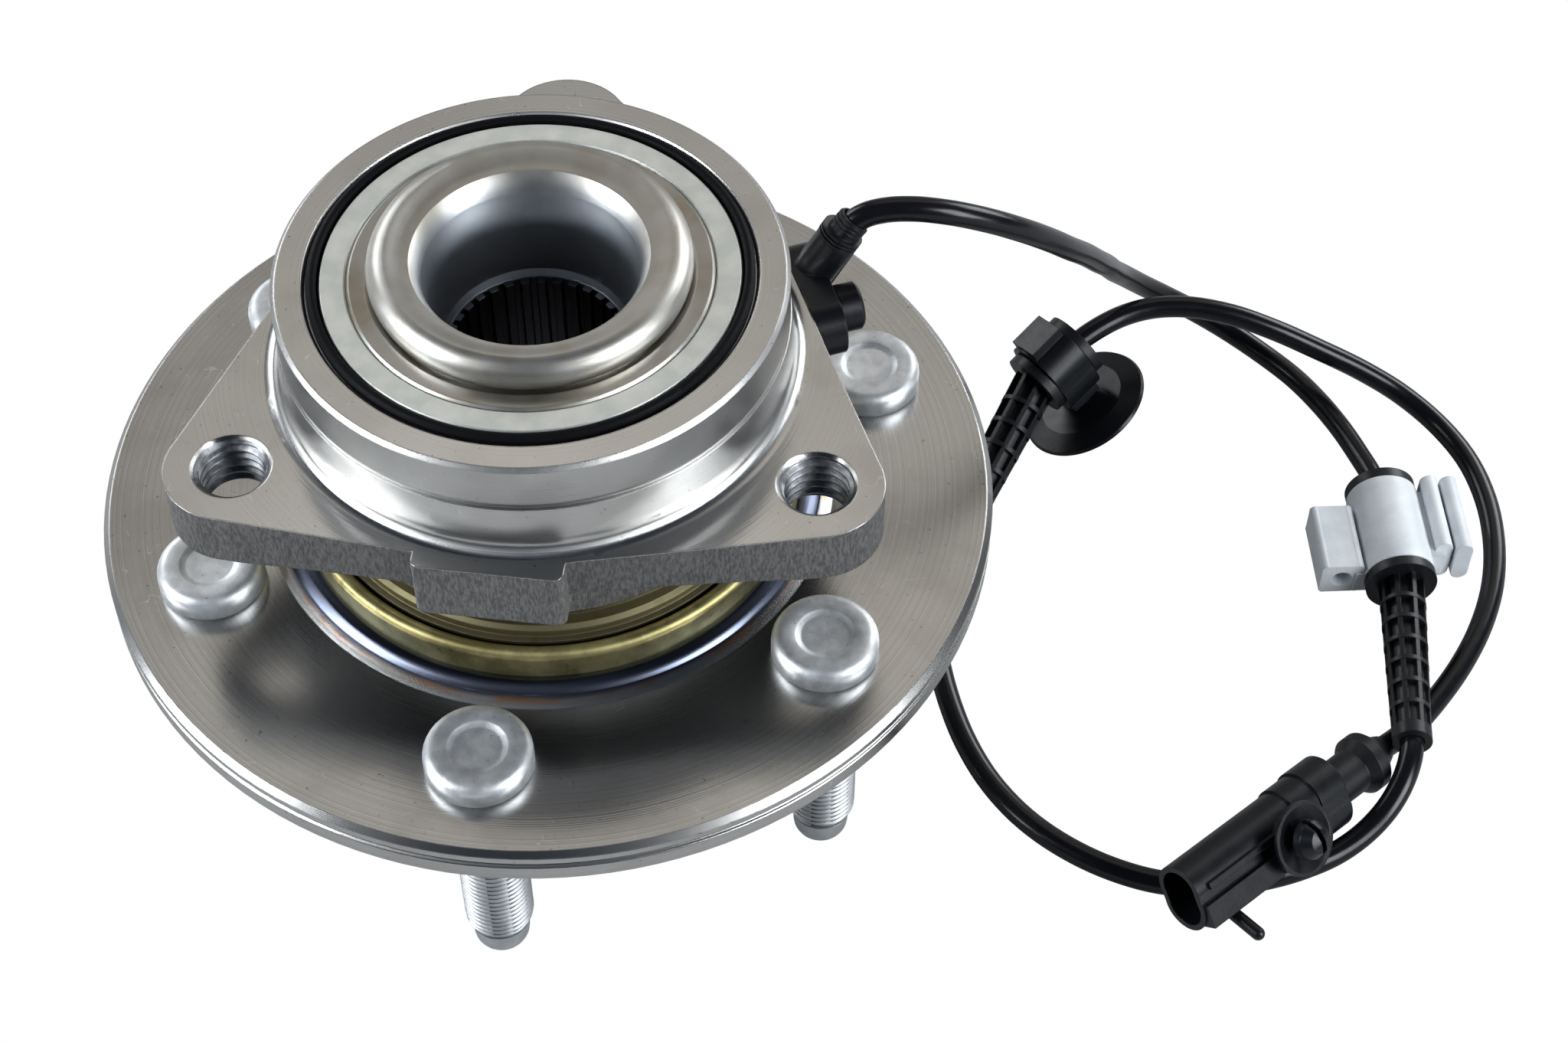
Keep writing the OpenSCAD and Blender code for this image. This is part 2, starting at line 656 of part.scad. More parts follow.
module sensor_body() {
    tip_r = sensor_tip_d / 2;
    reach = flat_d - tone_d / 2 - air_gap;
    color(plastic) difference() {
        union() {
            on_flat(0, sensor_z, flat_d + fit) linear_extrude(height = plate_t) plate_plan();
            on_flat(tip_s, sensor_z, flat_d - reach) cylinder(r = tip_r, h = reach + 1);
            along(exit_a, exit_b) cylinder(d = exit_tube_d, h = norm(exit_b - exit_a) - 0.01);
            exit_web();
        }
        on_flat(screw_s, screw_z, flat_d - 1) cylinder(d = bush_d + 2 * fit, h = plate_t + 4);
        on_flat(tip_s, sensor_z, flat_d - 4.6) difference() {
            cylinder(r = tip_r + 1, h = 2);
            translate([0, 0, -1]) cylinder(r = tip_r - 1, h = 4);
        }
    }
}

module sensor_o_ring() {
    color(rubber) on_flat(tip_s, sensor_z, flat_d - 3.6)
        rotate_extrude($fn = 48) translate([sensor_tip_d / 2 - 0.98, 0])
            intersection() {
                translate([0.9, 0]) circle(r = 0.88, $fn = 32);
                translate([0.03, -1]) square([0.95, 2]);
            }
}

module sensor_bushing() {
    color(gold) on_flat(screw_s, screw_z, flat_d + fit) tube(bush_d / 2, screw_d / 2 + fit, plate_t + 0.2);
}

// Socket head cap screw that holds the sensor
module sensor_screw() {
    under = plate_t + 0.2 + 2 * fit;
    color(plastic) on_flat(screw_s, screw_z, flat_d) difference() {
        union() {
            translate([0, 0, -screw_in]) cylinder(d = screw_d, h = screw_in + under);
            translate([0, 0, under]) cylinder(d = screw_head_d, h = screw_head_h - 0.6);
            translate([0, 0, under + screw_head_h - 0.6])
                cylinder(d1 = screw_head_d, d2 = screw_head_d - 1.2, h = 0.6);
        }
        translate([0, 0, under + screw_head_h - 2.6]) cylinder(d = 5.77, h = 3, $fn = 6);
    }
}

// Ribbed relief around the cable where it leaves the sensor
module sensor_boot() {
    bore = cable_d / 2 + 0.15;
    wide = exit_tube_d / 2;
    color(rubber) difference() {
        union() {
            along(exit_b, 2 * exit_b - exit_a) {
                cylinder(r = wide - 0.3, h = 2.3);
                for (z = [0.1, 0.95, 1.8]) translate([0, 0, z]) cylinder(r = wide + 0.1, h = 0.5);
            }
            along(route[0], route[2]) translate([0, 0, 1.2]) {
                cylinder(r1 = wide - 0.9, r2 = bore + 0.35, h = 4.4);
                for (z = [1.7, 2.6, 3.5]) translate([0, 0, z]) cylinder(r = bore + 0.7, h = 0.45);
            }
        }
        along(route[0], route[2]) translate([0, 0, -2]) cylinder(r = bore, h = 9);
    }
}

// Ring of points around one place of the route, square to the way it runs there
function around(p, d, r, sides) =
    let (side = unit(cross(d, [0.03, 0.05, 1])), up = cross(side, d))
    [for (k = [0 : sides - 1]) p + r * (cos(k * 360 / sides) * side + sin(k * 360 / sides) * up)];

function way(points, i) =
    let (last = len(points) - 1)
    i == 0 ? unit(points[1] - points[0])
    : i == last ? unit(points[last] - points[last - 1])
    : unit(unit(points[i + 1] - points[i]) + unit(points[i] - points[i - 1]));

// Round tube along a list of points
module swept(points, r, sides) {
    n = len(points);
    rings = [for (i = [0 : n - 1]) each around(points[i], way(points, i), r, sides)];
    walls = [for (i = [0 : n - 2]) for (k = [0 : sides - 1])
        [i * sides + k, i * sides + (k + 1) % sides, (i + 1) * sides + (k + 1) % sides, (i + 1) * sides + k]];
    first = [for (k = [sides - 1 : -1 : 0]) k];
    last = [for (k = [0 : sides - 1]) (n - 1) * sides + k];
    polyhedron(points = rings, faces = concat([first], walls, [last]), convexity = 10);
}

module sensor_cable() {
    color(rubber) swept(route, cable_d / 2, 10);
}

// Open lattice of ribs and rings that tapers away from the grommet
module lattice(length) {
    wide = sleeve_d / 2;
    narrow = wide - 0.9;
    core = cable_d / 2 + 0.9;
    root = -0.8;
    collar = 3;
    rings = 7;
    pitch = (length - collar) / rings;
    translate([0, 0, root]) cylinder(r = core, h = length - root);
    translate([0, 0, length - collar]) cylinder(r = narrow, h = collar);
    for (i = [1 : rings - 1]) {
        t = i / rings;
        translate([0, 0, i * pitch]) cylinder(r = wide * (1 - t) + narrow * t, h = 1.1);
    }
    for (a = [22.5 : 45 : 337.5]) rotate(a) rotate([90, 0, 0]) translate([0, 0, -0.5])
        linear_extrude(height = 1)
            polygon([[core - 0.4, root], [wide - 0.1, root], [narrow - 0.1, length - 0.6],
                     [core - 0.4, length - 0.6]]);
}

// Rubber grommet with two end discs, a neck for the clip and the lattice sleeve
module sleeve_grommet(place) {
    bore = cable_d / 2 + 0.05;
    neck = norm(place[1] - place[0]) - disc_t;
    sleeve = norm(place[2] - place[1]);
    color(rubber) difference() {
        union() {
            along(place[0], place[1]) {
                cylinder(d = grommet_d, h = disc_t);
                translate([0, 0, disc_t - 0.2]) cylinder(d = neck_d, h = neck);
                translate([0, 0, neck]) cylinder(d = grommet_d, h = disc_t);
            }
            along(place[1], place[2]) lattice(sleeve);
        }
        along(place[0], place[1]) translate([0, 0, -1]) cylinder(r = bore, h = neck + disc_t + 1);
        along(place[1], place[2]) translate([0, 0, -1]) cylinder(r = bore, h = sleeve + 2);
    }
}

module sleeve_grommet_a() {
    sleeve_grommet(grommet_a);
}

module sleeve_grommet_b() {
    sleeve_grommet(grommet_b);
}

// Bar with round ends across a clip
module bar(x, y, w, d, h) {
    translate([x, y, 0]) linear_extrude(height = h) {
        translate([d / 2, 0]) square([w - d, d]);
        translate([d / 2, d / 2]) circle(d = d, $fn = 32);
        translate([w - d / 2, d / 2]) circle(d = d, $fn = 32);
    }
}

// Width and thickness of the grey clip's hook
hook_w = 9.4;
hook_t = 8.6;

// Grey clip: a band around the grommet, a hook on one side and two latch bars on the other
module grey_clip() {
    z0 = disc_t + 0.2;
    h = norm(grommet_a[1] - grommet_a[0]) - 2 * disc_t - 0.4;
    band_r = neck_d / 2 + fit + clip_wall;
    color([0.55, 0.57, 0.59]) along(grommet_a[0], grommet_a[1]) translate([0, 0, z0]) {
        difference() {
            union() {
                cylinder(r = band_r, h = h);
                translate([-3, 0, 1]) cube([6, band_r + 2.4, h - 4]);
                translate([-1.4, -band_r - 2, 6]) cube([5.6, band_r + 2, h - 6]);
            }
            translate([0, 0, -1]) cylinder(r = neck_d / 2 + fit, h = h + 2);
        }
        translate([0, 0, -1.6]) bar(-5.4, band_r + 0.5, 11, 3.8, h - 3);
        translate([0, 0, -1.2]) bar(-5.4, band_r + 4.8, 11, 3.8, h - 2.6);
        translate([2, band_r + 3.8, 1]) cube([3, 2, h - 8]);
        translate([0, -band_r - hook_w - 0.2, 5]) difference() {
            linear_extrude(height = h - 5.4) hook_plan();
            translate([0.5, hook_w / 2, -1]) cylinder(r = 2.2, h = h);
        }
    }
}

// Plan of the clip's hook: a block with a flat face and rounded corners
module hook_plan() {
    round_r = 1.2;
    inside = 0.06;
    x0 = -hook_t / 2 + 0.5;
    translate([x0 + round_r, inside]) square([hook_t - 2 * round_r, hook_w - 2 * inside]);
    translate([x0 + inside, round_r]) square([hook_t - 2 * inside, hook_w - 2 * round_r]);
    for (x = [x0 + round_r, x0 + hook_t - round_r]) for (y = [round_r, hook_w - round_r])
        translate([x, y]) circle(r = round_r, $fn = 32);
}

// Distance from the second grommet to the underside of the disc
stem_len = 14;

// Black clip: a band around the second grommet with a latch block, a stem and a barbed pin
module black_clip() {
    z0 = disc_t + 0.2;
    h = norm(grommet_b[1] - grommet_b[0]) - 2 * disc_t - 0.4;
    band_r = neck_d / 2 + fit + clip_wall;
    color(plastic) framed(grommet_b[0], grommet_b[1], stem_side) translate([0, 0, z0]) {
        difference() {
            union() {
                for (y = [-1.6, 2.4]) translate([0, y, 0]) cylinder(r = band_r, h = h);
                translate([0.06 - band_r, -1.6, 0]) cube([2 * band_r - 0.12, 4, h]);
                translate([-4, -band_r - 2.7, 0.4]) cube([8, 5, h - 0.8]);
                translate([-4.6, band_r, 0.8]) cube([9.2, 3, h - 1.6]);
                translate([0, stem_len - 1, h / 2]) rotate([90, 0, 0]) cylinder(r = 2.8, h = 5);
            }
            translate([0, 0, -1]) cylinder(r = neck_d / 2 + fit, h = h + 2);
        }
        translate([0, stem_len - 1.2, h / 2]) rotate([-90, 0, 0]) {
            cylinder(r = 2, h = 4);
            translate([0, 0, 3.2]) turned([[0, 0], [2, 0], [3.5, 1.8], [3.1, 4.4], [1.6, 6.6], [0, 7]]);
        }
    }
}

// Large dished disc pushed over the pin of the black clip
module clip_disc() {
    r = disc_d / 2;
    h = norm(grommet_b[1] - grommet_b[0]) - 2 * disc_t - 0.4;
    color(plastic) framed(grommet_b[0], grommet_b[1], stem_side)
        translate([0, stem_len - 1 + fit, disc_t + 0.2 + h / 2]) rotate([-90, 0, 0])
            turned([
                [2 + fit, 0], [r - 5, 0.3], [r - 0.4, 1.5], [r, 2.2], [r - 0.6, 2.4], [r - 5.2, 1.3],
                [2 + fit, 1]
            ]);
}

connector_len = norm(connector_axis[1] - connector_axis[0]);

// Rear of the connector: collar around the cable, round bulge and neck
module connector_boot() {
    color(rubber) along(connector_axis[0], connector_axis[1]) {
        cylinder(d1 = cable_d + 1, d2 = cable_d + 3.2, h = 2.6);
        translate([0, 0, 2.5]) rotate_extrude($fn = 64) {
            polygon([[0, 0], [4.2, 0], [6.5, 2.4], [6.5, 5], [4.9, 7.2], [0, 7.2]]);
        }
        translate([0, 0, 9.6]) cylinder(d = 9.8, h = 8.4);
    }
}

// The connector is rolled on its axis: its broad face, with the push-in clip, is on the -X side
module rolled() {
    along(connector_axis[0], connector_axis[1]) rotate(-50) children();
}

// Plan of the connector shell, an oval
module shell_plan(grow) {
    w = shell_w + 2 * grow;
    h = shell_h + 2 * grow;
    translate([0.06 - h / 2, -w / 2 + h / 2]) square([h - 0.12, w - h]);
    translate([0, -w / 2 + h / 2]) circle(d = h);
    translate([0, w / 2 - h / 2]) circle(d = h);
}

// Rear end of the shell and the place of the push-in clip along it
shell_z0 = 18 + fit;
push_z = 36;
push_seat = shell_h / 2 + 1.4;

module connector_housing() {
    len = connector_len - shell_z0;
    half = shell_h / 2;
    color(plastic) rolled() difference() {
        union() {
            translate([0, 0, shell_z0]) linear_extrude(height = len) shell_plan(0);
            translate([0, 0, shell_z0]) linear_extrude(height = 7.5) shell_plan(0.9);
            translate([0, 0, shell_z0]) linear_extrude(height = 14) shell_plan(0.45);
            translate([0, 0, push_z]) rotate([0, -90, 0]) cylinder(r = 4.4, h = push_seat);
            translate([-half - 1.1, 1.2, push_z + 5]) cube([half, 5, connector_len - push_z - 5.4]);
            translate([-half - 0.8, -2.6, push_z]) cube([half, 1.4, connector_len - push_z - 3]);
            translate([-2, shell_w / 2 - 1, connector_len - 8]) rotate([0, 0, 48]) rotate([-94, 0, 0]) {
                cylinder(d = 2.8, h = 8.4);
                translate([0, 0, 8.4]) sphere(d = 2.8);
            }
        }
        translate([0, 0, connector_len - 16]) linear_extrude(height = 17) shell_plan(-1.2);
        translate([0, 0, connector_len - 22])
            for (y = [-2.6, 2.6]) translate([0, y, 0]) cylinder(r = 0.9, h = 12);
    }
}

module connector_terminals() {
    color(zinc) rolled()
        for (y = [-2.6, 2.6]) translate([0, y, connector_len - 22 + fit]) {
            cylinder(r = 0.85, h = 11);
            translate([0, 0, 11]) cylinder(r1 = 0.85, r2 = 0.3, h = 1.4);
        }
}

// Push-in clip on the broad face of the connector: a cup and a slotted barbed head
module push_clip() {
    color(plastic) rolled() translate([-push_seat - fit, 0, push_z]) rotate([0, -90, 0]) {
        cylinder(d = 6, h = 1.2);
        translate([0, 0, 0.8]) turned([
            [0, 0], [4.2, 0], [7.8, 1.9], [7.8, 2.7], [7, 2.7], [3.8, 0.9], [0, 0.9]
        ]);
        difference() {
            translate([0, 0, 1.4])
                turned([[0, 0], [2.2, 0], [2.2, 0.8], [4.2, 2.8], [4, 4.6], [2.6, 6.6], [0, 7.4]]);
            translate([-0.6, -5, 3]) cube([1.2, 10, 9]);
        }
    }
}

hub_spindle();
inner_ring();
wheel_studs();
tone_ring();
inboard_slinger();
outboard_slinger();
outer_ring();
inboard_seal_case();
inboard_seal_lip();
outboard_seal_case();
outboard_seal_lip();
inboard_cage();
inboard_balls();
outboard_cage();
outboard_balls();
sensor_body();
sensor_o_ring();
sensor_bushing();
sensor_screw();
sensor_boot();
sensor_cable();
sleeve_grommet_a();
grey_clip();
sleeve_grommet_b();
black_clip();
clip_disc();
connector_boot();
connector_housing();
connector_terminals();
push_clip();
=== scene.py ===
"""Finished model of a wheel hub with its speed sensor and harness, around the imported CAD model."""
import json
import math

import bpy
from mathutils import Matrix, Vector

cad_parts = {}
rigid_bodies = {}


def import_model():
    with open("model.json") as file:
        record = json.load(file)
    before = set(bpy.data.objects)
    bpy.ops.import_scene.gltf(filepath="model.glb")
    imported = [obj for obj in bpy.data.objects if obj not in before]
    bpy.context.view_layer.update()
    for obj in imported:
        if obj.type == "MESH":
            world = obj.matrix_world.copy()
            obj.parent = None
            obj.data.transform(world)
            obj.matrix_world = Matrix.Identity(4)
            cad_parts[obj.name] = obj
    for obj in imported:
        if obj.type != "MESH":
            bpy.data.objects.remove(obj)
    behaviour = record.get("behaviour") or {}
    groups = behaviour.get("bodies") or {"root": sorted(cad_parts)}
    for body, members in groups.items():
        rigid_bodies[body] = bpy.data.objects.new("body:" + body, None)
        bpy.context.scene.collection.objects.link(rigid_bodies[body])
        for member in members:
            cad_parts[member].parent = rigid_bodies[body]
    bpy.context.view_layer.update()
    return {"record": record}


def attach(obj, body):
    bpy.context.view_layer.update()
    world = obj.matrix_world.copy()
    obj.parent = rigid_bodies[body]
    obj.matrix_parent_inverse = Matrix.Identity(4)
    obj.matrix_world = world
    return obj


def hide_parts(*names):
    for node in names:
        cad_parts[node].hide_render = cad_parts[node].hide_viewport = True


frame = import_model()

MM = 0.001
TURN = 2 * math.pi

# Camera of the photograph
CAMERA_PLACE = (0.05774, -0.36409, 0.45291)
CAMERA_RIGHT = (0.9994, 0.03441, 0.00454)
CAMERA_UP = (-0.02972, 0.78092, 0.62393)
CAMERA_LENS = 65.393
SENSOR_WIDTH = 36.0

# Levels and radii of the hub, in millimetres
FLOOR_Z = -53.1
SLINGER_R = 50.3
SEAT_R = 54.8
SEAT_Z = 10.2
SEAT_LOW_Z = 4.0
SEAT_HOLLOW = 0.11
BARREL_R = 48.3
SEAL_BORE_R = 45.0
SHIELD_R = 47.0
KNUCKLE_Z = 47.4
SPLINE_R = 17.4
SPLINE_TOP_Z = 49.0

# Rolled lip and funnel inside it, in millimetres: how far their relief reaches and how strong it is
LIP_MOUTH_R = 20.4
LIP_CREST_R = 26.9
LIP_OUTER_R = 30.3
LIP_ROUND = LIP_CREST_R - LIP_MOUTH_R
LIP_FLAT_REACH = 0.7 * LIP_ROUND
LIP_FALL_REACH = 2.2
LIP_FLATTEN = 0.65
LIP_TILT = 0.13
FUNNEL_R = 22.0
FUNNEL_TOP_Z = 73.0
FUNNEL_LOW_Z = 61.0
FUNNEL_FLARE = 2.6

# Cable, in millimetres: its diameter, sides, steps between knots and route to the connector
CABLE_D = 5.0
CABLE_SIDES = 20
CABLE_STEPS = 5
CABLE_ROUTE = [
    (56.5, 25.5, 53.5), (57.3, 25.8, 54.7), (59.1, 26.6, 56.7), (62.1, 27.4, 58.5),
    (65.9, 27.9, 59.4), (71, 28.3, 59.5), (77.4, 29.2, 58), (85.6, 31.7, 53.6),
    (93.4, 35.8, 46.8), (99.5, 41.5, 38.5), (104.5, 48, 29.5), (108.6, 55.2, 20.5),
    (112.4, 63, 10.5), (115.6, 71.4, 0.5), (118.4, 80, -10), (122, 87.6, -19.5),
    (127.4, 93.3, -28.5), (134.1, 96.8, -36), (140.8, 97.8, -41.3), (148.4, 96.2, -45.4),
    (157.2, 91, -48), (164.6, 83.8, -48.6), (169.6, 76.2, -48.2), (173.7, 67.6, -47.2),
    (177, 58.6, -46.1), (179.2, 51, -44.8), (180.2, 46, -44.2), (181.3, 32.6, -44),
    (182.3, 19.4, -43.7), (181.8, 5, -43.1), (181, -9, -42.4), (180.2, -20, -41.9),
    (179.6, -26, -42.1), (177.8, -31.4, -43.6), (174.8, -36.4, -46), (170.6, -40.8, -48.4),
    (164.7, -45.2, -50.1), (156.8, -49.3, -50.6), (147.4, -52.6, -50.6), (137, -54.4, -50.6),
    (126.7, -54.1, -50.6), (117, -51.3, -50.6), (107.9, -46.6, -50.6), (99.4, -39.9, -50.6),
    (92.3, -31.2, -50.6), (87.1, -21.2, -50.6), (83.6, -10.8, -50.6), (81.5, -1.5, -50.6),
    (80.3, 7, -50.6), (80, 15.5, -50.4), (81, 23, -49.8), (83.2, 30.5, -48.5),
    (89.5, 42.7, -44), (96, 55.2, -39.4), (102.2, 67.2, -35), (106.8, 71.4, -32.4),
    (111.1, 75.3, -30), (116.6, 79.2, -28.2), (122.8, 82.6, -27.2), (129, 84.6, -26.8),
    (135.4, 85.4, -26.9), (147, 85, -28.6), (157.2, 83.7, -31.8), (168.3, 82.4, -36.8),
    (179.4, 80.9, -42.2), (188, 78.4, -46.4), (196.4, 72.4, -49.6), (202.6, 62.7, -50.6),
    (205.8, 50.2, -50.6), (206.2, 38, -50.6), (204.5, 26, -50.6), (200.6, 14.4, -50.6),
    (195.1, 3.7, -50.6), (189, -5.4, -50.6), (183.4, -12.6, -50.2), (178.7, -17.8, -48.4),
    (174.5, -22.2, -46.3),
]

# Wheel studs, in millimetres, with their angles in radians
STUD_COUNT = 6
STUD_SIDES = 40
STUD_SPIN = 1.9
STUD_CIRCLE_R = 69.85
STUD_TURN = math.radians(-96)
STUD_CREST_R = 6.9
STUD_PITCH = 1.5
STUD_KNURL_R = 7.3
STUD_HEAD_R = 10.4
STUD_HEAD_Z = (8.95, 14.35)
STUD_SHANK_TOP_Z = 1.2
STUD_TIP_Z = -53.0
STUD_DOG_R = 5.65
STUD_DOG_H = 6.2
STUD_THREAD_DEPTH = 0.92
STUD_THREAD_TOP_Z = -1.0
STUD_RUN_OUT = 1.5
STUD_DISH_R = 5.9
STUD_DISH_DEPTH = 0.66

# Threaded holes of the outer ring, in millimetres, with their angle in radians
HOLE_COUNT = 3
HOLE_SIDES = 56
HOLE_STEPS = 80
HOLE_CIRCLE_R = 62.6
HOLE_TURN = math.radians(-30)
HOLE_R = 7.0
HOLE_MINOR_R = 5.95
HOLE_CLEAR = 0.02
HOLE_PITCH = 2.0
HOLE_Z = (35.5, 46.8)

# Turned steel: grooves to a millimetre, and the width of a scratch as a share of the noise that draws it
TURNING_WAVES = 2.6
HAIRLINE_WIDTH = 0.004

# Soft boxes: place and size in metres, and power in watts
SOFT_BOXES = {
    "left_box": ((-1.15, -0.40, 0.60), (0.6, 0.9), 20),
    "right_box": ((1.15, -0.60, 0.62), (0.6, 0.9), 20),
    "back_left_box": ((-0.95, 0.95, 0.55), (0.7, 0.6), 6),
    "back_right_box": ((1.0, 0.95, 0.55), (0.7, 0.6), 9.6),
}
BOX_COLOR = (0.93, 0.97, 1.0)
BOX_TARGET = (0.0, 0.0, 0.03)

# Room: dark blue on the camera's side, brightest high at the back, dimmer low at the back and to both sides
ROOM_DARK = (0.010, 0.018, 0.032)
ROOM_BRIGHT = (0.84, 0.80, 0.735)
ROOM_RISE = (0.26, 0.56)
ROOM_FALL = (0.6, 0.78)
ROOM_LOW = 0.4
ROOM_MIDDLE = 0.1
ROOM_SIDES = (0.28, 0.52)
ROOM_SIDE_LOW = 0.12
FLOOR_SHADE = 0.5
FLOOR_HALF = 3.0
WHITE = (1, 1, 1, 1)


def link(piece):
    bpy.context.scene.collection.objects.link(piece)
    return piece


def make_camera():
    data = bpy.data.cameras.new("camera")
    data.lens = CAMERA_LENS
    data.sensor_width = SENSOR_WIDTH
    data.clip_start = 0.01
    data.clip_end = 30
    camera = link(bpy.data.objects.new("camera", data))
    right = Vector(CAMERA_RIGHT).normalized()
    back = right.cross(Vector(CAMERA_UP)).normalized()
    up = back.cross(right)
    turn = Matrix((right, up, back)).transposed().to_4x4()
    camera.matrix_world = Matrix.Translation(CAMERA_PLACE) @ turn
    bpy.context.scene.camera = camera


def smooth_path(knots, steps):
    """Points on a smooth curve through the knots, with so many steps from each knot to the next."""
    knots = [Vector(knot) for knot in knots]
    spans = [(b - a).length for a, b in zip(knots, knots[1:])]
    slopes = [(b - a) / span for a, b, span in zip(knots, knots[1:], spans)]
    headings = [slopes[0]]
    for i in range(1, len(slopes)):
        total = spans[i - 1] + spans[i]
        headings.append((slopes[i - 1] * spans[i] + slopes[i] * spans[i - 1]) / total)
    headings.append(slopes[-1])
    path = []
    for i, span in enumerate(spans):
        for k in range(steps):
            t = k / steps
            ease = 3 * t ** 2 - 2 * t ** 3
            leave = headings[i] * span * (t ** 3 - 2 * t ** 2 + t)
            arrive = headings[i + 1] * span * (t ** 3 - t ** 2)
            path.append(knots[i] * (1 - ease) + knots[i + 1] * ease + leave + arrive)
    path.append(knots[-1])
    return path


def tube(path, radius, sides):
    """Vertices and faces of a closed round tube along a path, without twist."""
    points, faces = [], []
    side = Vector((0, 0, 1)).cross(path[1] - path[0]).normalized()
    last = len(path) - 1
    for i, place in enumerate(path):
        along = (path[min(i + 1, last)] - path[max(i - 1, 0)]).normalized()
        side = (side - along * side.dot(along)).normalized()
        up = along.cross(side)
        for k in range(sides):
            angle = TURN * k / sides
            points.append(place + radius * (math.cos(angle) * side + math.sin(angle) * up))
    for i in range(last):
        for k in range(sides):
            a, b = i * sides + k, i * sides + (k + 1) % sides
            faces.append((a, b, b + sides, a + sides))
    faces.append(tuple(reversed(range(sides))))
    faces.append(tuple(last * sides + k for k in range(sides)))
    return points, faces


def make_cable():
    path = smooth_path(CABLE_ROUTE, CABLE_STEPS)
    cable = merged("cable_jacket", [(*tube(path, CABLE_D / 2, CABLE_SIDES), Matrix())])
    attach(cable, "knuckle_side")
    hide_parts("sensor_cable")
    return cable


def feed(tree, socket, value):
    """Links an output to a socket, or sets the socket's own value."""
    if isinstance(value, bpy.types.NodeSocket):
        tree.links.new(value, socket)
    else:
        socket.default_value = value


def add_node(tree, kind, settings, *values):
    """New node with its settings, and with values for its inputs in their order."""
    made = tree.nodes.new(kind)
    for name, value in settings.items():
        setattr(made, name, value)
    for socket, value in zip(made.inputs, values):
        feed(tree, socket, value)
    return made


def add_math(tree, operation, *values):
    return add_node(tree, "ShaderNodeMath", {"operation": operation}, *values).outputs[0]


def smooth_step(tree, value, low, high, out_low, out_high):
    """Goes from out_low to out_high as value goes from low to high."""
    return add_node(tree, "ShaderNodeMapRange", {"interpolation_type": "SMOOTHSTEP"}, value, low, high,
                    out_low, out_high).outputs[0]


def mix_colors(tree, amount, first, second):
    made = add_node(tree, "ShaderNodeMix", {"data_type": "RGBA"}, amount)
    for socket, value in ((made.inputs[6], first), (made.inputs[7], second)):
        feed(tree, socket, value if isinstance(value, bpy.types.NodeSocket) else (*value, 1))
    return made.outputs[2]


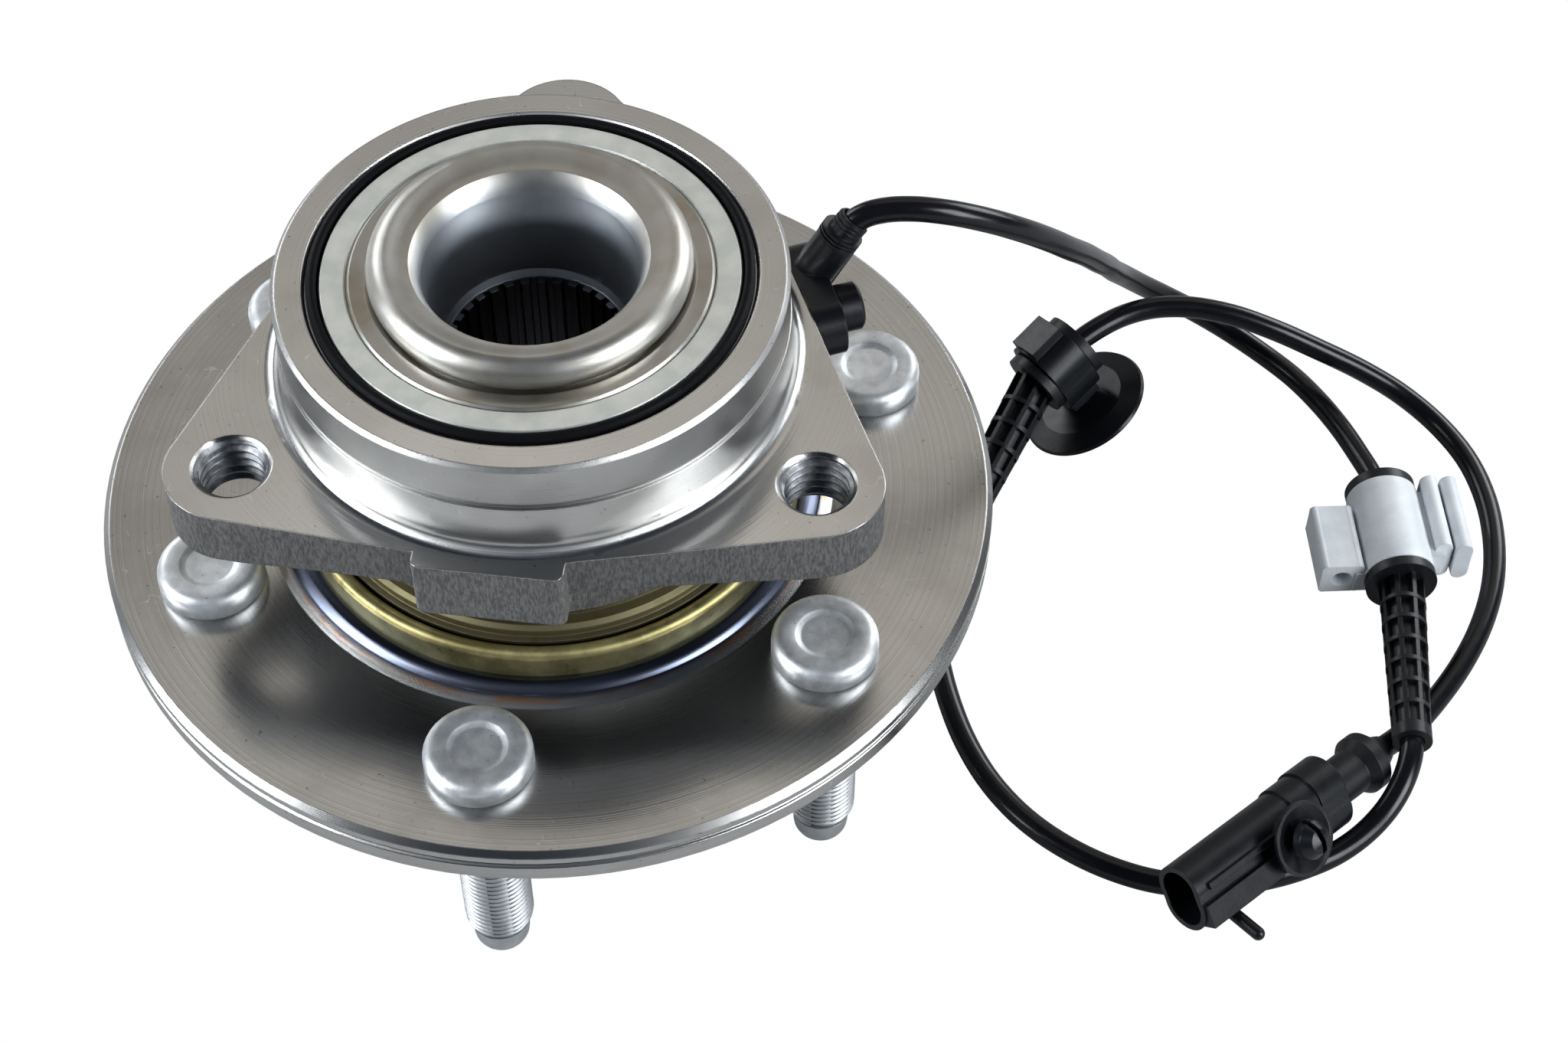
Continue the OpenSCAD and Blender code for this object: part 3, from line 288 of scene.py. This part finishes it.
class Shader:
    """One node material. Its methods add nodes and give back a socket, and take numbers or sockets."""

    def __init__(self, name, color, roughness, metallic=0.0, **settings):
        self.material = bpy.data.materials.new(name)
        self.material.use_nodes = True
        self.material.diffuse_color = (*color, 1)
        self.tree = self.material.node_tree
        self.principled = self.tree.nodes["Principled BSDF"]
        self.set("Base Color", (*color, 1))
        self.set("Roughness", roughness)
        self.set("Metallic", metallic)
        for socket, value in settings.items():
            self.set(socket.replace("_", " "), value)
        coords = self.tree.nodes.new("ShaderNodeTexCoord")
        scaled = self.node("ShaderNodeVectorMath", {"operation": "SCALE"}, coords.outputs["Object"])
        scaled.inputs["Scale"].default_value = 1 / MM
        self.place = scaled.outputs[0]
        apart = self.node("ShaderNodeSeparateXYZ", {}, self.place)
        self.x, self.y, self.height = apart.outputs
        self.radius = self.math("SQRT", self.total(self.times(self.x, self.x), self.times(self.y, self.y)))

    def set(self, socket, value):
        feed(self.tree, self.principled.inputs[socket], value)

    def node(self, kind, settings, *values):
        return add_node(self.tree, kind, settings, *values)

    def math(self, operation, *values):
        return add_math(self.tree, operation, *values)

    def times(self, *values):
        result = values[0]
        for value in values[1:]:
            result = self.math("MULTIPLY", result, value)
        return result

    def total(self, *values):
        result = values[0]
        for value in values[1:]:
            result = self.math("ADD", result, value)
        return result

    def within(self, value, low, high):
        """How far value is past low, and no further than high."""
        return self.math("SUBTRACT", self.math("MINIMUM", self.math("MAXIMUM", value, low), high), low)

    def ramp(self, value, low, high, out_low=0.0, out_high=1.0):
        return smooth_step(self.tree, value, low, high, out_low, out_high)

    def noise(self, scale, detail=2.0, rough=0.5, stretch=None):
        """Grey noise with so many waves to a millimetre."""
        source = self.place
        if stretch:
            source = self.node("ShaderNodeVectorMath", {"operation": "MULTIPLY"}, source, stretch).outputs[0]
        made = self.tree.nodes.new("ShaderNodeTexNoise")
        feed(self.tree, made.inputs["Vector"], source)
        made.inputs["Scale"].default_value = scale
        made.inputs["Detail"].default_value = detail
        made.inputs["Roughness"].default_value = rough
        return made.outputs[0]

    def rings(self, scale, detail=2.0):
        """Noise that only changes across the turned grooves."""
        made = self.node("ShaderNodeTexNoise", {"noise_dimensions": "1D"})
        feed(self.tree, made.inputs["W"], self.total(self.radius, self.height))
        made.inputs["Scale"].default_value = scale
        made.inputs["Detail"].default_value = detail
        return made.outputs[0]

    def mix(self, amount, first, second):
        """Colour between first and second."""
        return mix_colors(self.tree, amount, first, second)

    def blend(self, amount, first, second):
        """Number between first and second."""
        made = self.node("ShaderNodeMix", {}, amount)
        feed(self.tree, made.inputs[2], first)
        feed(self.tree, made.inputs[3], second)
        return made.outputs[0]

    def relief(self, height, depth, edge=0.3):
        """Bump of so many millimetres on edges rounded to a radius, all in millimetres."""
        rounded = self.tree.nodes.new("ShaderNodeBevel")
        rounded.samples = 4
        rounded.inputs["Radius"].default_value = edge * MM
        bump = self.tree.nodes.new("ShaderNodeBump")
        bump.inputs["Distance"].default_value = depth * MM
        feed(self.tree, bump.inputs["Height"], height)
        feed(self.tree, bump.inputs["Normal"], rounded.outputs[0])
        self.set("Normal", bump.outputs[0])

    def around_axis(self):
        """Grain that runs round the hub's axis."""
        tangent = self.node("ShaderNodeCombineXYZ", {}, self.math("MULTIPLY", self.y, -1), self.x, 0.0)
        world = self.node("ShaderNodeVectorTransform", {"vector_type": "VECTOR", "convert_from": "OBJECT",
                                                        "convert_to": "WORLD"}, tangent.outputs[0])
        self.set("Tangent", world.outputs[0])

    def hairlines(self, waves):
        """Fine curved scratches in patches, from 0 to 1."""
        line = self.math("ABSOLUTE", self.math("SUBTRACT", self.noise(waves, 2.0), 0.5))
        patches = self.ramp(self.noise(waves * 2.3), 0.56, 0.62)
        return self.times(self.ramp(line, HAIRLINE_WIDTH, HAIRLINE_WIDTH / 3), patches)

    def scuffs(self, metal, speck_waves, speck_color, line_waves, line_color):
        """The metal's colour with dark specks and bright scratches."""
        specks = self.ramp(self.noise(speck_waves, 3.0, 0.6), 0.68, 0.72)
        metal = self.mix(self.times(specks, 0.6), metal, speck_color)
        return self.mix(self.times(self.hairlines(line_waves), 0.5), metal, line_color)

    def upright(self):
        """How far the surface faces up or down, from 0 to 1."""
        geometry = self.tree.nodes.new("ShaderNodeNewGeometry")
        apart = self.node("ShaderNodeSeparateXYZ", {}, geometry.outputs["True Normal"])
        return self.math("ABSOLUTE", apart.outputs[2])


def lip_color(s):
    """Satin steel of the rolled lip, stained in places, and the darker funnel inside it."""
    clean, stained, funnel = (0.52, 0.51, 0.485), (0.46, 0.435, 0.39), (0.36, 0.38, 0.41)
    lip = s.mix(s.ramp(s.noise(0.16, 3.0), 0.35, 0.7), clean, stained)
    return s.mix(s.ramp(s.radius, LIP_MOUTH_R + 1.5, LIP_MOUTH_R - 0.5), lip, funnel)


def lip_shape(s):
    """Height that makes the lip's face flatter and the funnel wider, in millimetres."""
    inward = s.math("SUBTRACT", LIP_ROUND, s.within(s.radius, LIP_MOUTH_R, LIP_CREST_R))
    inward = s.math("MINIMUM", inward, LIP_FLAT_REACH)
    flat = s.times(inward, inward, LIP_FLATTEN / LIP_ROUND)
    tilt = s.times(s.within(s.radius, LIP_CREST_R - LIP_FLAT_REACH, LIP_CREST_R + LIP_FALL_REACH), -LIP_TILT)
    flare = s.times(s.ramp(s.height, FUNNEL_TOP_Z, FUNNEL_LOW_Z),
                    s.ramp(s.radius, FUNNEL_R + 2, FUNNEL_R), FUNNEL_FLARE)
    return s.times(s.total(flat, tilt, flare), s.ramp(s.radius, LIP_OUTER_R + 1.2, LIP_OUTER_R + 0.2))


def seat_fillet(s):
    """Height that hollows the step between the gold slinger and its seat, in millimetres."""
    out = s.within(s.radius, SLINGER_R, SEAT_R)
    return s.times(out, out, s.ramp(s.height, SEAT_LOW_Z, SEAT_LOW_Z + 2), -SEAT_HOLLOW)


def heat_tinted(s, metal):
    """The metal's colour with a blue-black seat and a thin orange line around it."""
    orange, blue_black = (0.45, 0.20, 0.07), (0.12, 0.135, 0.18)
    outside = s.ramp(s.radius, SEAL_BORE_R, SEAL_BORE_R + 1)
    warm = s.times(outside, s.ramp(s.height, SEAT_Z - 1.6, SEAT_Z - 1.2),
                   s.ramp(s.radius, SEAT_R + 2.0, SEAT_R + 0.6))
    metal = s.mix(s.times(warm, s.ramp(s.noise(0.12), 0.35, 0.6, 0.2, 0.9)), metal, orange)
    edge = s.total(SEAT_R - 0.2, s.times(s.noise(0.1, 2.0), 0.8))
    seat = s.times(outside, s.ramp(s.height, SEAT_Z - 1.2, SEAT_Z - 0.9),
                   s.ramp(s.radius, s.total(edge, 0.7), edge))
    return s.mix(seat, metal, blue_black)


def turned_steel():
    """Wheel side of the hub: turned faces, satin lip and funnel, dark splines and a heat-tinted seat."""
    groove, ridge, clouded = (0.46, 0.455, 0.445), (0.55, 0.545, 0.535), (0.42, 0.41, 0.395)
    spline, speck, scratch = (0.05, 0.05, 0.055), (0.12, 0.095, 0.07), (0.75, 0.74, 0.72)
    s = Shader("turned_steel", (0.45, 0.44, 0.42), 0.3, 1.0)
    s.around_axis()
    grain = s.rings(TURNING_WAVES, 3.0)
    cloud = s.noise(0.06, 3.0)
    metal = s.mix(s.ramp(grain, 0.3, 0.7), groove, ridge)
    metal = s.mix(s.ramp(cloud, 0.4, 0.65, 0.0, 0.5), metal, clouded)
    metal = s.scuffs(metal, 0.9, speck, 0.11, scratch)
    throat = s.ramp(s.radius, LIP_OUTER_R + 0.6, LIP_OUTER_R)
    metal = s.mix(throat, metal, lip_color(s))
    in_spline = s.times(s.ramp(s.radius, SPLINE_R + 0.4, SPLINE_R),
                        s.ramp(s.height, SPLINE_TOP_Z + 1, SPLINE_TOP_Z - 0.5))
    metal = s.mix(in_spline, metal, spline)
    s.set("Base Color", heat_tinted(s, metal))
    s.set("Anisotropic", s.blend(throat, 0.75, 0.15))
    s.set("Roughness", s.blend(throat, s.blend(cloud, 0.19, 0.25), s.blend(s.noise(0.3, 3.0), 0.36, 0.44)))
    fine = s.blend(throat, s.total(grain, s.noise(0.5)), s.times(s.noise(0.9, 2.0), 0.5))
    s.relief(s.total(s.times(fine, 0.007), seat_fillet(s), lip_shape(s)), 1.0, 0.4)
    return s.material


def forged_steel():
    """Outer ring: turned barrel and face on a rough forged flange, with painted shade under it."""
    groove, ridge, clouded = (0.56, 0.555, 0.545), (0.59, 0.585, 0.575), (0.47, 0.46, 0.445)
    cast_low, cast_high, underside_shade = (0.18, 0.18, 0.185), (0.36, 0.355, 0.35), (0.02, 0.024, 0.03)
    speck, scratch = (0.13, 0.10, 0.075), (0.8, 0.79, 0.77)
    s = Shader("forged_steel", (0.5, 0.49, 0.47), 0.32, 1.0, Anisotropic=0.8)
    s.around_axis()
    upright = s.upright()
    edge = s.times(s.ramp(upright, 0.6, 0.4), s.ramp(s.radius, BARREL_R + 0.6, BARREL_R + 0.8),
                   s.ramp(s.height, KNUCKLE_Z - 0.01, KNUCKLE_Z - 0.05))
    below = s.times(s.ramp(s.height, KNUCKLE_Z - 1.2, KNUCKLE_Z - 1.4),
                    s.ramp(s.radius, SEAL_BORE_R - 0.2, SEAL_BORE_R + 0.2))
    forged = s.math("MAXIMUM", edge, below)
    grain = s.rings(TURNING_WAVES, 3.0)
    streaks = s.noise(2.2, 4.0, 0.65, stretch=(1.0, 1.0, 0.25))
    pits = s.noise(3.4, 4.0, 0.7)
    metal = s.mix(s.ramp(grain, 0.3, 0.7), groove, ridge)
    metal = s.mix(s.ramp(s.noise(0.05, 2.0), 0.45, 0.65, 0.0, 0.5), metal, clouded)
    metal = s.scuffs(metal, 1.1, speck, 0.13, scratch)
    cast = s.mix(s.ramp(streaks, 0.35, 0.65), cast_low, cast_high)
    # Faces of the forging that face up or down get a near-black colour: painted shade under the flange.
    cast = s.mix(s.ramp(upright, 0.45, 0.7), cast, underside_shade)
    s.set("Base Color", s.mix(forged, metal, cast))
    polish = s.total(s.blend(s.noise(0.1, 2.0), 0.19, 0.25), s.times(s.ramp(upright, 0.85, 0.6), 0.10))
    s.set("Roughness", s.blend(forged, polish, 0.56))
    height = s.blend(forged, s.times(grain, 0.03), s.total(s.times(streaks, 0.5), s.times(pits, 0.9)))
    s.relief(height, 0.3, 0.45)
    return s.material


def bearing_steel():
    """Ground inner ring and balls, with a brown tint from handling."""
    s = Shader("bearing_steel", (0.55, 0.53, 0.5), 0.25, 1.0, Anisotropic=0.6)
    s.around_axis()
    stain = s.ramp(s.noise(0.09, 3.0), 0.4, 0.7)
    s.set("Base Color", s.mix(stain, (0.46, 0.45, 0.43), (0.37, 0.335, 0.28)))
    s.set("Roughness", s.blend(s.noise(0.4, 3.0), 0.26, 0.36))
    s.relief(s.rings(8.0, 2.0), 0.008, 0.35)
    return s.material


def zinc_plate():
    """Zinc plated studs, satin with small scuffs, and painted shade on the shank below the flange."""
    dull, bright = (0.62, 0.64, 0.66), (0.78, 0.80, 0.82)
    thread, spot = (0.26, 0.27, 0.28), (0.16, 0.17, 0.18)
    s = Shader("zinc_plate", (0.62, 0.64, 0.65), 0.4, 0.9)
    cloud = s.noise(0.35, 4.0)
    spots = s.ramp(s.noise(1.3, 4.0, 0.7), 0.64, 0.72)
    metal = s.mix(s.ramp(cloud, 0.35, 0.7), dull, bright)
    # Below the flange the zinc darkens halfway to the thread colour: painted shade on the shank under the
    # hub.
    metal = s.mix(s.ramp(s.height, 0, -2, 0.0, 0.5), metal, thread)
    s.set("Base Color", s.mix(s.times(spots, 0.7), metal, spot))
    s.set("Roughness", s.blend(cloud, 0.42, 0.54))
    s.relief(s.noise(2.2, 3.0), 0.03, 0.3)
    return s.material


def pale_zinc():
    """Pale greenish zinc of the slinger, with a fine sheared grain."""
    s = Shader("pale_zinc", (0.66, 0.70, 0.66), 0.42, 0.85)
    s.around_axis()
    cloud = s.noise(0.2, 4.0)
    s.set("Base Color", s.mix(s.ramp(cloud, 0.35, 0.7), (0.75, 0.79, 0.76), (0.88, 0.90, 0.87)))
    s.set("Roughness", s.blend(s.noise(1.0, 3.0), 0.34, 0.48))
    s.relief(s.noise(3.0, 3.0), 0.01, 0.25)
    return s.material


def yellow_chromate():
    """Olive gold chromate with smudges."""
    dark, gold = (0.27, 0.235, 0.10), (0.46, 0.405, 0.19)
    shield, stain = (0.17, 0.15, 0.085), (0.13, 0.11, 0.05)
    s = Shader("yellow_chromate", (0.5, 0.42, 0.17), 0.34, 0.9, Anisotropic=0.4)
    s.around_axis()
    cloud = s.noise(0.12, 4.0, 0.6)
    smudge = s.ramp(s.noise(0.25, 5.0, 0.65), 0.55, 0.72)
    metal = s.mix(s.ramp(cloud, 0.35, 0.65), dark, gold)
    metal = s.mix(s.ramp(s.radius, SHIELD_R + 0.2, SHIELD_R - 0.4), metal, shield)
    s.set("Base Color", s.mix(s.times(smudge, 0.7), metal, stain))
    s.set("Roughness", s.blend(cloud, 0.38, 0.5))
    s.relief(s.noise(1.5, 3.0), 0.01, 0.3)
    return s.material


def dark_polymer(name, color, roughness, grain, depth, shine=0.3):
    """Black plastic or rubber with a fine grain and a little dust."""
    s = Shader(name, color, roughness, Specular_IOR_Level=shine)
    dust = s.ramp(s.noise(0.5, 5.0, 0.7), 0.6, 0.8, 0.0, 0.25)
    s.set("Base Color", s.mix(dust, color, tuple(c + 0.02 for c in color)))
    s.set("Roughness", s.blend(s.noise(0.4, 4.0), roughness - 0.06, roughness + 0.08))
    s.relief(s.noise(grain, 3.0), depth, 0.25)
    return s.material


def grey_plastic():
    """Pale grey moulded clip."""
    s = Shader("grey_plastic", (0.42, 0.44, 0.46), 0.42)
    s.set("Base Color", s.mix(s.ramp(s.noise(0.15, 3.0), 0.35, 0.7), (0.64, 0.67, 0.70), (0.74, 0.77, 0.80)))
    s.set("Roughness", s.blend(s.noise(0.6, 3.0), 0.36, 0.5))
    s.relief(s.noise(1.8, 3.0), 0.02, 0.35)
    return s.material


def plain_metal(name, color, roughness, grain=1.5):
    """Small metal pieces, clouded and finely grained."""
    s = Shader(name, color, roughness, 1.0)
    dark = tuple(c * 0.7 for c in color)
    s.set("Base Color", s.mix(s.ramp(s.noise(0.3, 3.0), 0.4, 0.7), color, dark))
    s.relief(s.noise(grain, 3.0), 0.01, 0.2)
    return s.material


def cage_plastic():
    """Tan moulded ball cages."""
    s = Shader("cage_plastic", (0.62, 0.5, 0.3), 0.45)
    s.set("Base Color", s.mix(s.noise(0.2, 3.0), (0.58, 0.46, 0.27), (0.68, 0.56, 0.35)))
    s.relief(s.noise(1.5, 3.0), 0.02, 0.2)
    return s.material


def make_materials():
    return {
        "turned_steel": turned_steel(),
        "forged_steel": forged_steel(),
        "bearing_steel": bearing_steel(),
        "sintered_steel": plain_metal("sintered_steel", (0.25, 0.25, 0.25), 0.55, 3.0),
        "zinc_plate": zinc_plate(),
        "pale_zinc": pale_zinc(),
        "yellow_chromate": yellow_chromate(),
        "seal_rubber": dark_polymer("seal_rubber", (0.004, 0.004, 0.005), 0.5, 0.8, 0.02, 0.07),
        "black_rubber": dark_polymer("black_rubber", (0.007, 0.008, 0.010), 0.38, 1.2, 0.03),
        "cable_jacket": dark_polymer("cable_jacket", (0.006, 0.006, 0.008), 0.22, 0.5, 0.008),
        "black_plastic": dark_polymer("black_plastic", (0.005, 0.006, 0.008), 0.3, 1.5, 0.02),
        "grey_plastic": grey_plastic(),
        "cage_plastic": cage_plastic(),
        "black_steel": plain_metal("black_steel", (0.04, 0.04, 0.045), 0.38),
        "brass": plain_metal("brass", (0.6, 0.45, 0.2), 0.35),
        "tin_plate": plain_metal("tin_plate", (0.65, 0.65, 0.64), 0.3),
    }


def dress(piece, material):
    piece.data.materials.clear()
    piece.data.materials.append(material)


def dress_nodes(materials):
    """Gives each CAD node the material of its slot in the record."""
    for part in frame["record"]["subparts"]:
        node = bpy.data.objects[part["node"]]
        for slot in node.material_slots:
            slot.material = materials[part["material_slot"]]


def thread_wave(z, angle, pitch):
    """0 at the root of a thread and 1 at its crest, with small flats on both."""
    phase = (z / pitch + angle / TURN) % 1.0
    return min(1.0, max(0.0, abs(2 * phase - 1) * 1.3 - 0.15))


def spun(rows, sides, shape=None):
    """Vertices and faces turned from (radius, z) rows. shape(radius, z, angle) may change a radius."""
    points, faces = [], []
    for radius, z in rows:
        for k in range(sides):
            angle = TURN * k / sides
            r = shape(radius, z, angle) if shape else radius
            points.append(Vector((r * math.cos(angle), r * math.sin(angle), z)))
    for i in range(len(rows) - 1):
        for k in range(sides):
            a, b = i * sides + k, i * sides + (k + 1) % sides
            faces.append((a, b, b + sides, a + sides))
    return points, faces


def arc(center, radius, start, end, steps):
    """(radius, z) rows along an arc of the section, with its angles in degrees."""
    turns = [math.radians(start + (end - start) * i / steps) for i in range(steps + 1)]
    return [(center[0] + radius * math.cos(t), center[1] + radius * math.sin(t)) for t in turns]


def merged(name, parts, smooth=40):
    """One mesh object from several (points, faces, matrix) parts, in millimetres."""
    points, faces = [], []
    for part_points, part_faces, matrix in parts:
        base = len(points)
        points += [matrix @ p * MM for p in part_points]
        faces += [tuple(base + i for i in face) for face in part_faces]
    mesh = bpy.data.meshes.new(name)
    mesh.from_pydata(points, [], faces)
    mesh.polygons.foreach_set("use_smooth", [True] * len(mesh.polygons))
    mesh.set_sharp_from_angle(angle=math.radians(smooth))
    mesh.update()
    return link(bpy.data.objects.new(name, mesh))


def stud_rows():
    """Section of a stud from its tip to the middle of its head."""
    under, top = STUD_HEAD_Z
    tip_round, head_round = 3.4, 2.2
    rows = [(0.0, STUD_TIP_Z)]
    rows += arc((STUD_DOG_R - tip_round, STUD_TIP_Z + tip_round), tip_round, -90, 0, 6)
    z = STUD_TIP_Z + STUD_DOG_H
    rows.append((STUD_DOG_R, z))
    step = STUD_PITCH / 10
    while z < STUD_THREAD_TOP_Z:
        rows.append((STUD_CREST_R, z))
        z += step
    rows += [(STUD_CREST_R, STUD_SHANK_TOP_Z - 0.8), (STUD_CREST_R, STUD_SHANK_TOP_Z)]
    rows += [(STUD_KNURL_R, STUD_SHANK_TOP_Z), (STUD_KNURL_R, under)]
    rows += [(STUD_HEAD_R - 0.5, under), (STUD_HEAD_R, under + 0.5)]
    rows += arc((STUD_HEAD_R - head_round, top - head_round), head_round, 0, 90, 6)
    dish_z = top - STUD_DISH_DEPTH
    rows += [(STUD_DISH_R, top), (STUD_DISH_R - 0.2, top - 0.1)]
    rows += [(STUD_DISH_R - 1.1, dish_z + 0.04), (STUD_DISH_R - 1.4, dish_z), (0.0, dish_z)]
    return rows


def stud_thread(radius, z, angle):
    """Cuts the thread into the shank, with a lead-in at the dog point and a run-out under the flange."""
    if radius != STUD_CREST_R:
        return radius
    depth = STUD_THREAD_DEPTH * min(1.0, max(0.0, (STUD_THREAD_TOP_Z - 1.0 - z) / STUD_RUN_OUT))
    crest = min(STUD_CREST_R, STUD_DOG_R + 0.1 + 0.3 * (z - STUD_TIP_Z - STUD_DOG_H))
    cut = STUD_CREST_R - depth * (1 - thread_wave(z, angle, STUD_PITCH))
    return min(cut, crest)


def in_groove(point):
    """Whether a point of a stud lies deep in its thread."""
    radius = math.hypot(point.x, point.y)
    low, high = STUD_TIP_Z + STUD_DOG_H + STUD_RUN_OUT, STUD_THREAD_TOP_Z - 0.5
    return low < point.z < high and radius < STUD_CREST_R - 0.3


def make_studs(material, groove_shade_material):
    points, faces = spun(stud_rows(), STUD_SIDES, stud_thread)
    # Faces deep in the thread take the second, darker material: painted shade in the thread's roots.
    grooves = [int(all(in_groove(points[i]) for i in face)) for face in faces]
    parts = []
    for i in range(STUD_COUNT):
        turn = Matrix.Rotation(STUD_TURN + TURN * i / STUD_COUNT, 4, "Z")
        spin = Matrix.Rotation(STUD_SPIN * i, 4, "Z")
        parts.append((points, faces, turn @ Matrix.Translation((STUD_CIRCLE_R, 0, 0)) @ spin))
    studs = merged("threaded_studs", parts, 50)
    dress(studs, material)
    studs.data.materials.append(groove_shade_material)
    studs.data.polygons.foreach_set("material_index", grooves * STUD_COUNT)
    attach(studs, "wheel_side")
    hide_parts("wheel_studs")


def hole_thread(radius, z, angle):
    """Inside thread between its root and its crest, opening at both ends."""
    low, high = HOLE_Z
    open_r = HOLE_R - min(z - low, high - z)
    cut = HOLE_R - HOLE_CLEAR - (HOLE_R - HOLE_MINOR_R) * thread_wave(z, angle, HOLE_PITCH)
    return min(HOLE_R - HOLE_CLEAR, max(cut, open_r))


def make_hole_threads(material):
    low, high = HOLE_Z
    rows = [(HOLE_R, low + (high - low) * i / HOLE_STEPS) for i in range(HOLE_STEPS + 1)]
    points, faces = spun(rows, HOLE_SIDES, hole_thread)
    faces = [tuple(reversed(face)) for face in faces]
    parts = []
    for i in range(HOLE_COUNT):
        turn = Matrix.Rotation(HOLE_TURN + TURN * i / HOLE_COUNT, 4, "Z")
        parts.append((points, faces, turn @ Matrix.Translation((HOLE_CIRCLE_R, 0, 0))))
    threads = merged("hole_threads", parts, 60)
    dress(threads, material)
    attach(threads, "knuckle_side")


def cut_thread_steel():
    """Dark, matt metal of the threads in the outer ring's holes."""
    s = Shader("cut_thread_steel", (0.26, 0.27, 0.29), 0.42, 1.0)
    s.set("Base Color", s.mix(s.ramp(s.noise(0.6, 4.0), 0.35, 0.7), (0.16, 0.17, 0.18), (0.34, 0.34, 0.35)))
    s.relief(s.noise(2.0, 3.0), 0.03, 0.05)
    return s.material


def soft_box(name, place, size, power):
    data = bpy.data.lights.new(name, "AREA")
    data.shape = "RECTANGLE"
    data.size, data.size_y = size
    data.energy = power
    data.color = BOX_COLOR
    lamp = link(bpy.data.objects.new(name, data))
    lamp.location = place
    lamp.rotation_euler = (Vector(BOX_TARGET) - Vector(place)).to_track_quat("-Z", "Y").to_euler()


def make_lights():
    for name, (place, size, power) in SOFT_BOXES.items():
        soft_box(name, place, size, power)


def split_for_camera(tree, other, seen, output_kind):
    """The camera sees one shader, and everything else is lit by the other."""
    light_path = tree.nodes.new("ShaderNodeLightPath")
    choice = add_node(tree, "ShaderNodeMixShader", {}, light_path.outputs["Is Camera Ray"],
                      other.outputs[0], seen.outputs[0])
    add_node(tree, output_kind, {}, choice.outputs[0])


def make_world():
    """Room of the studio, and white where the camera sees past the floor."""
    world = bpy.data.worlds.new("studio")
    world.use_nodes = True
    bpy.context.scene.world = world
    tree = world.node_tree
    tree.nodes.clear()
    coords = tree.nodes.new("ShaderNodeTexCoord")
    across, back, _ = add_node(tree, "ShaderNodeSeparateXYZ", {}, coords.outputs["Generated"]).outputs
    rise = smooth_step(tree, back, *ROOM_RISE, 0.0, 1.0)
    fall = smooth_step(tree, back, *ROOM_FALL, 1.0, ROOM_LOW)
    aside = add_math(tree, "ABSOLUTE", add_math(tree, "SUBTRACT", across, ROOM_MIDDLE))
    spread = smooth_step(tree, aside, *ROOM_SIDES, 1.0, ROOM_SIDE_LOW)
    shade = add_math(tree, "MULTIPLY", add_math(tree, "MULTIPLY", rise, fall), spread)
    room = add_node(tree, "ShaderNodeBackground", {}, mix_colors(tree, shade, ROOM_DARK, ROOM_BRIGHT), 1.0)
    white = add_node(tree, "ShaderNodeBackground", {}, WHITE, 1.0)
    split_for_camera(tree, room, white, "ShaderNodeOutputWorld")


def make_floor():
    """Pale sweep that the camera sees as white."""
    z = FLOOR_Z * MM
    corners = [(-FLOOR_HALF, -FLOOR_HALF, z), (FLOOR_HALF, -FLOOR_HALF, z),
               (FLOOR_HALF, FLOOR_HALF, z), (-FLOOR_HALF, FLOOR_HALF, z)]
    mesh = bpy.data.meshes.new("floor")
    mesh.from_pydata(corners, [], [(0, 1, 2, 3)])
    floor = link(bpy.data.objects.new("floor", mesh))
    material = bpy.data.materials.new("white_floor")
    material.use_nodes = True
    tree = material.node_tree
    tree.nodes.clear()
    paper = add_node(tree, "ShaderNodeBsdfDiffuse", {}, (FLOOR_SHADE, FLOOR_SHADE, FLOOR_SHADE, 1))
    glow = add_node(tree, "ShaderNodeEmission", {}, WHITE, 1.0)
    split_for_camera(tree, paper, glow, "ShaderNodeOutputMaterial")
    dress(floor, material)


make_camera()
cable = make_cable()
materials = make_materials()
dress(cable, materials["cable_jacket"])
dress_nodes(materials)
# The studs' dark second material is painted shade in their thread roots.
make_studs(materials["zinc_plate"], plain_metal("thread_groove_shade", (0.16, 0.165, 0.17), 0.5))
make_hole_threads(cut_thread_steel())
make_lights()
make_world()
make_floor()
bpy.context.scene.view_settings.view_transform = "Standard"
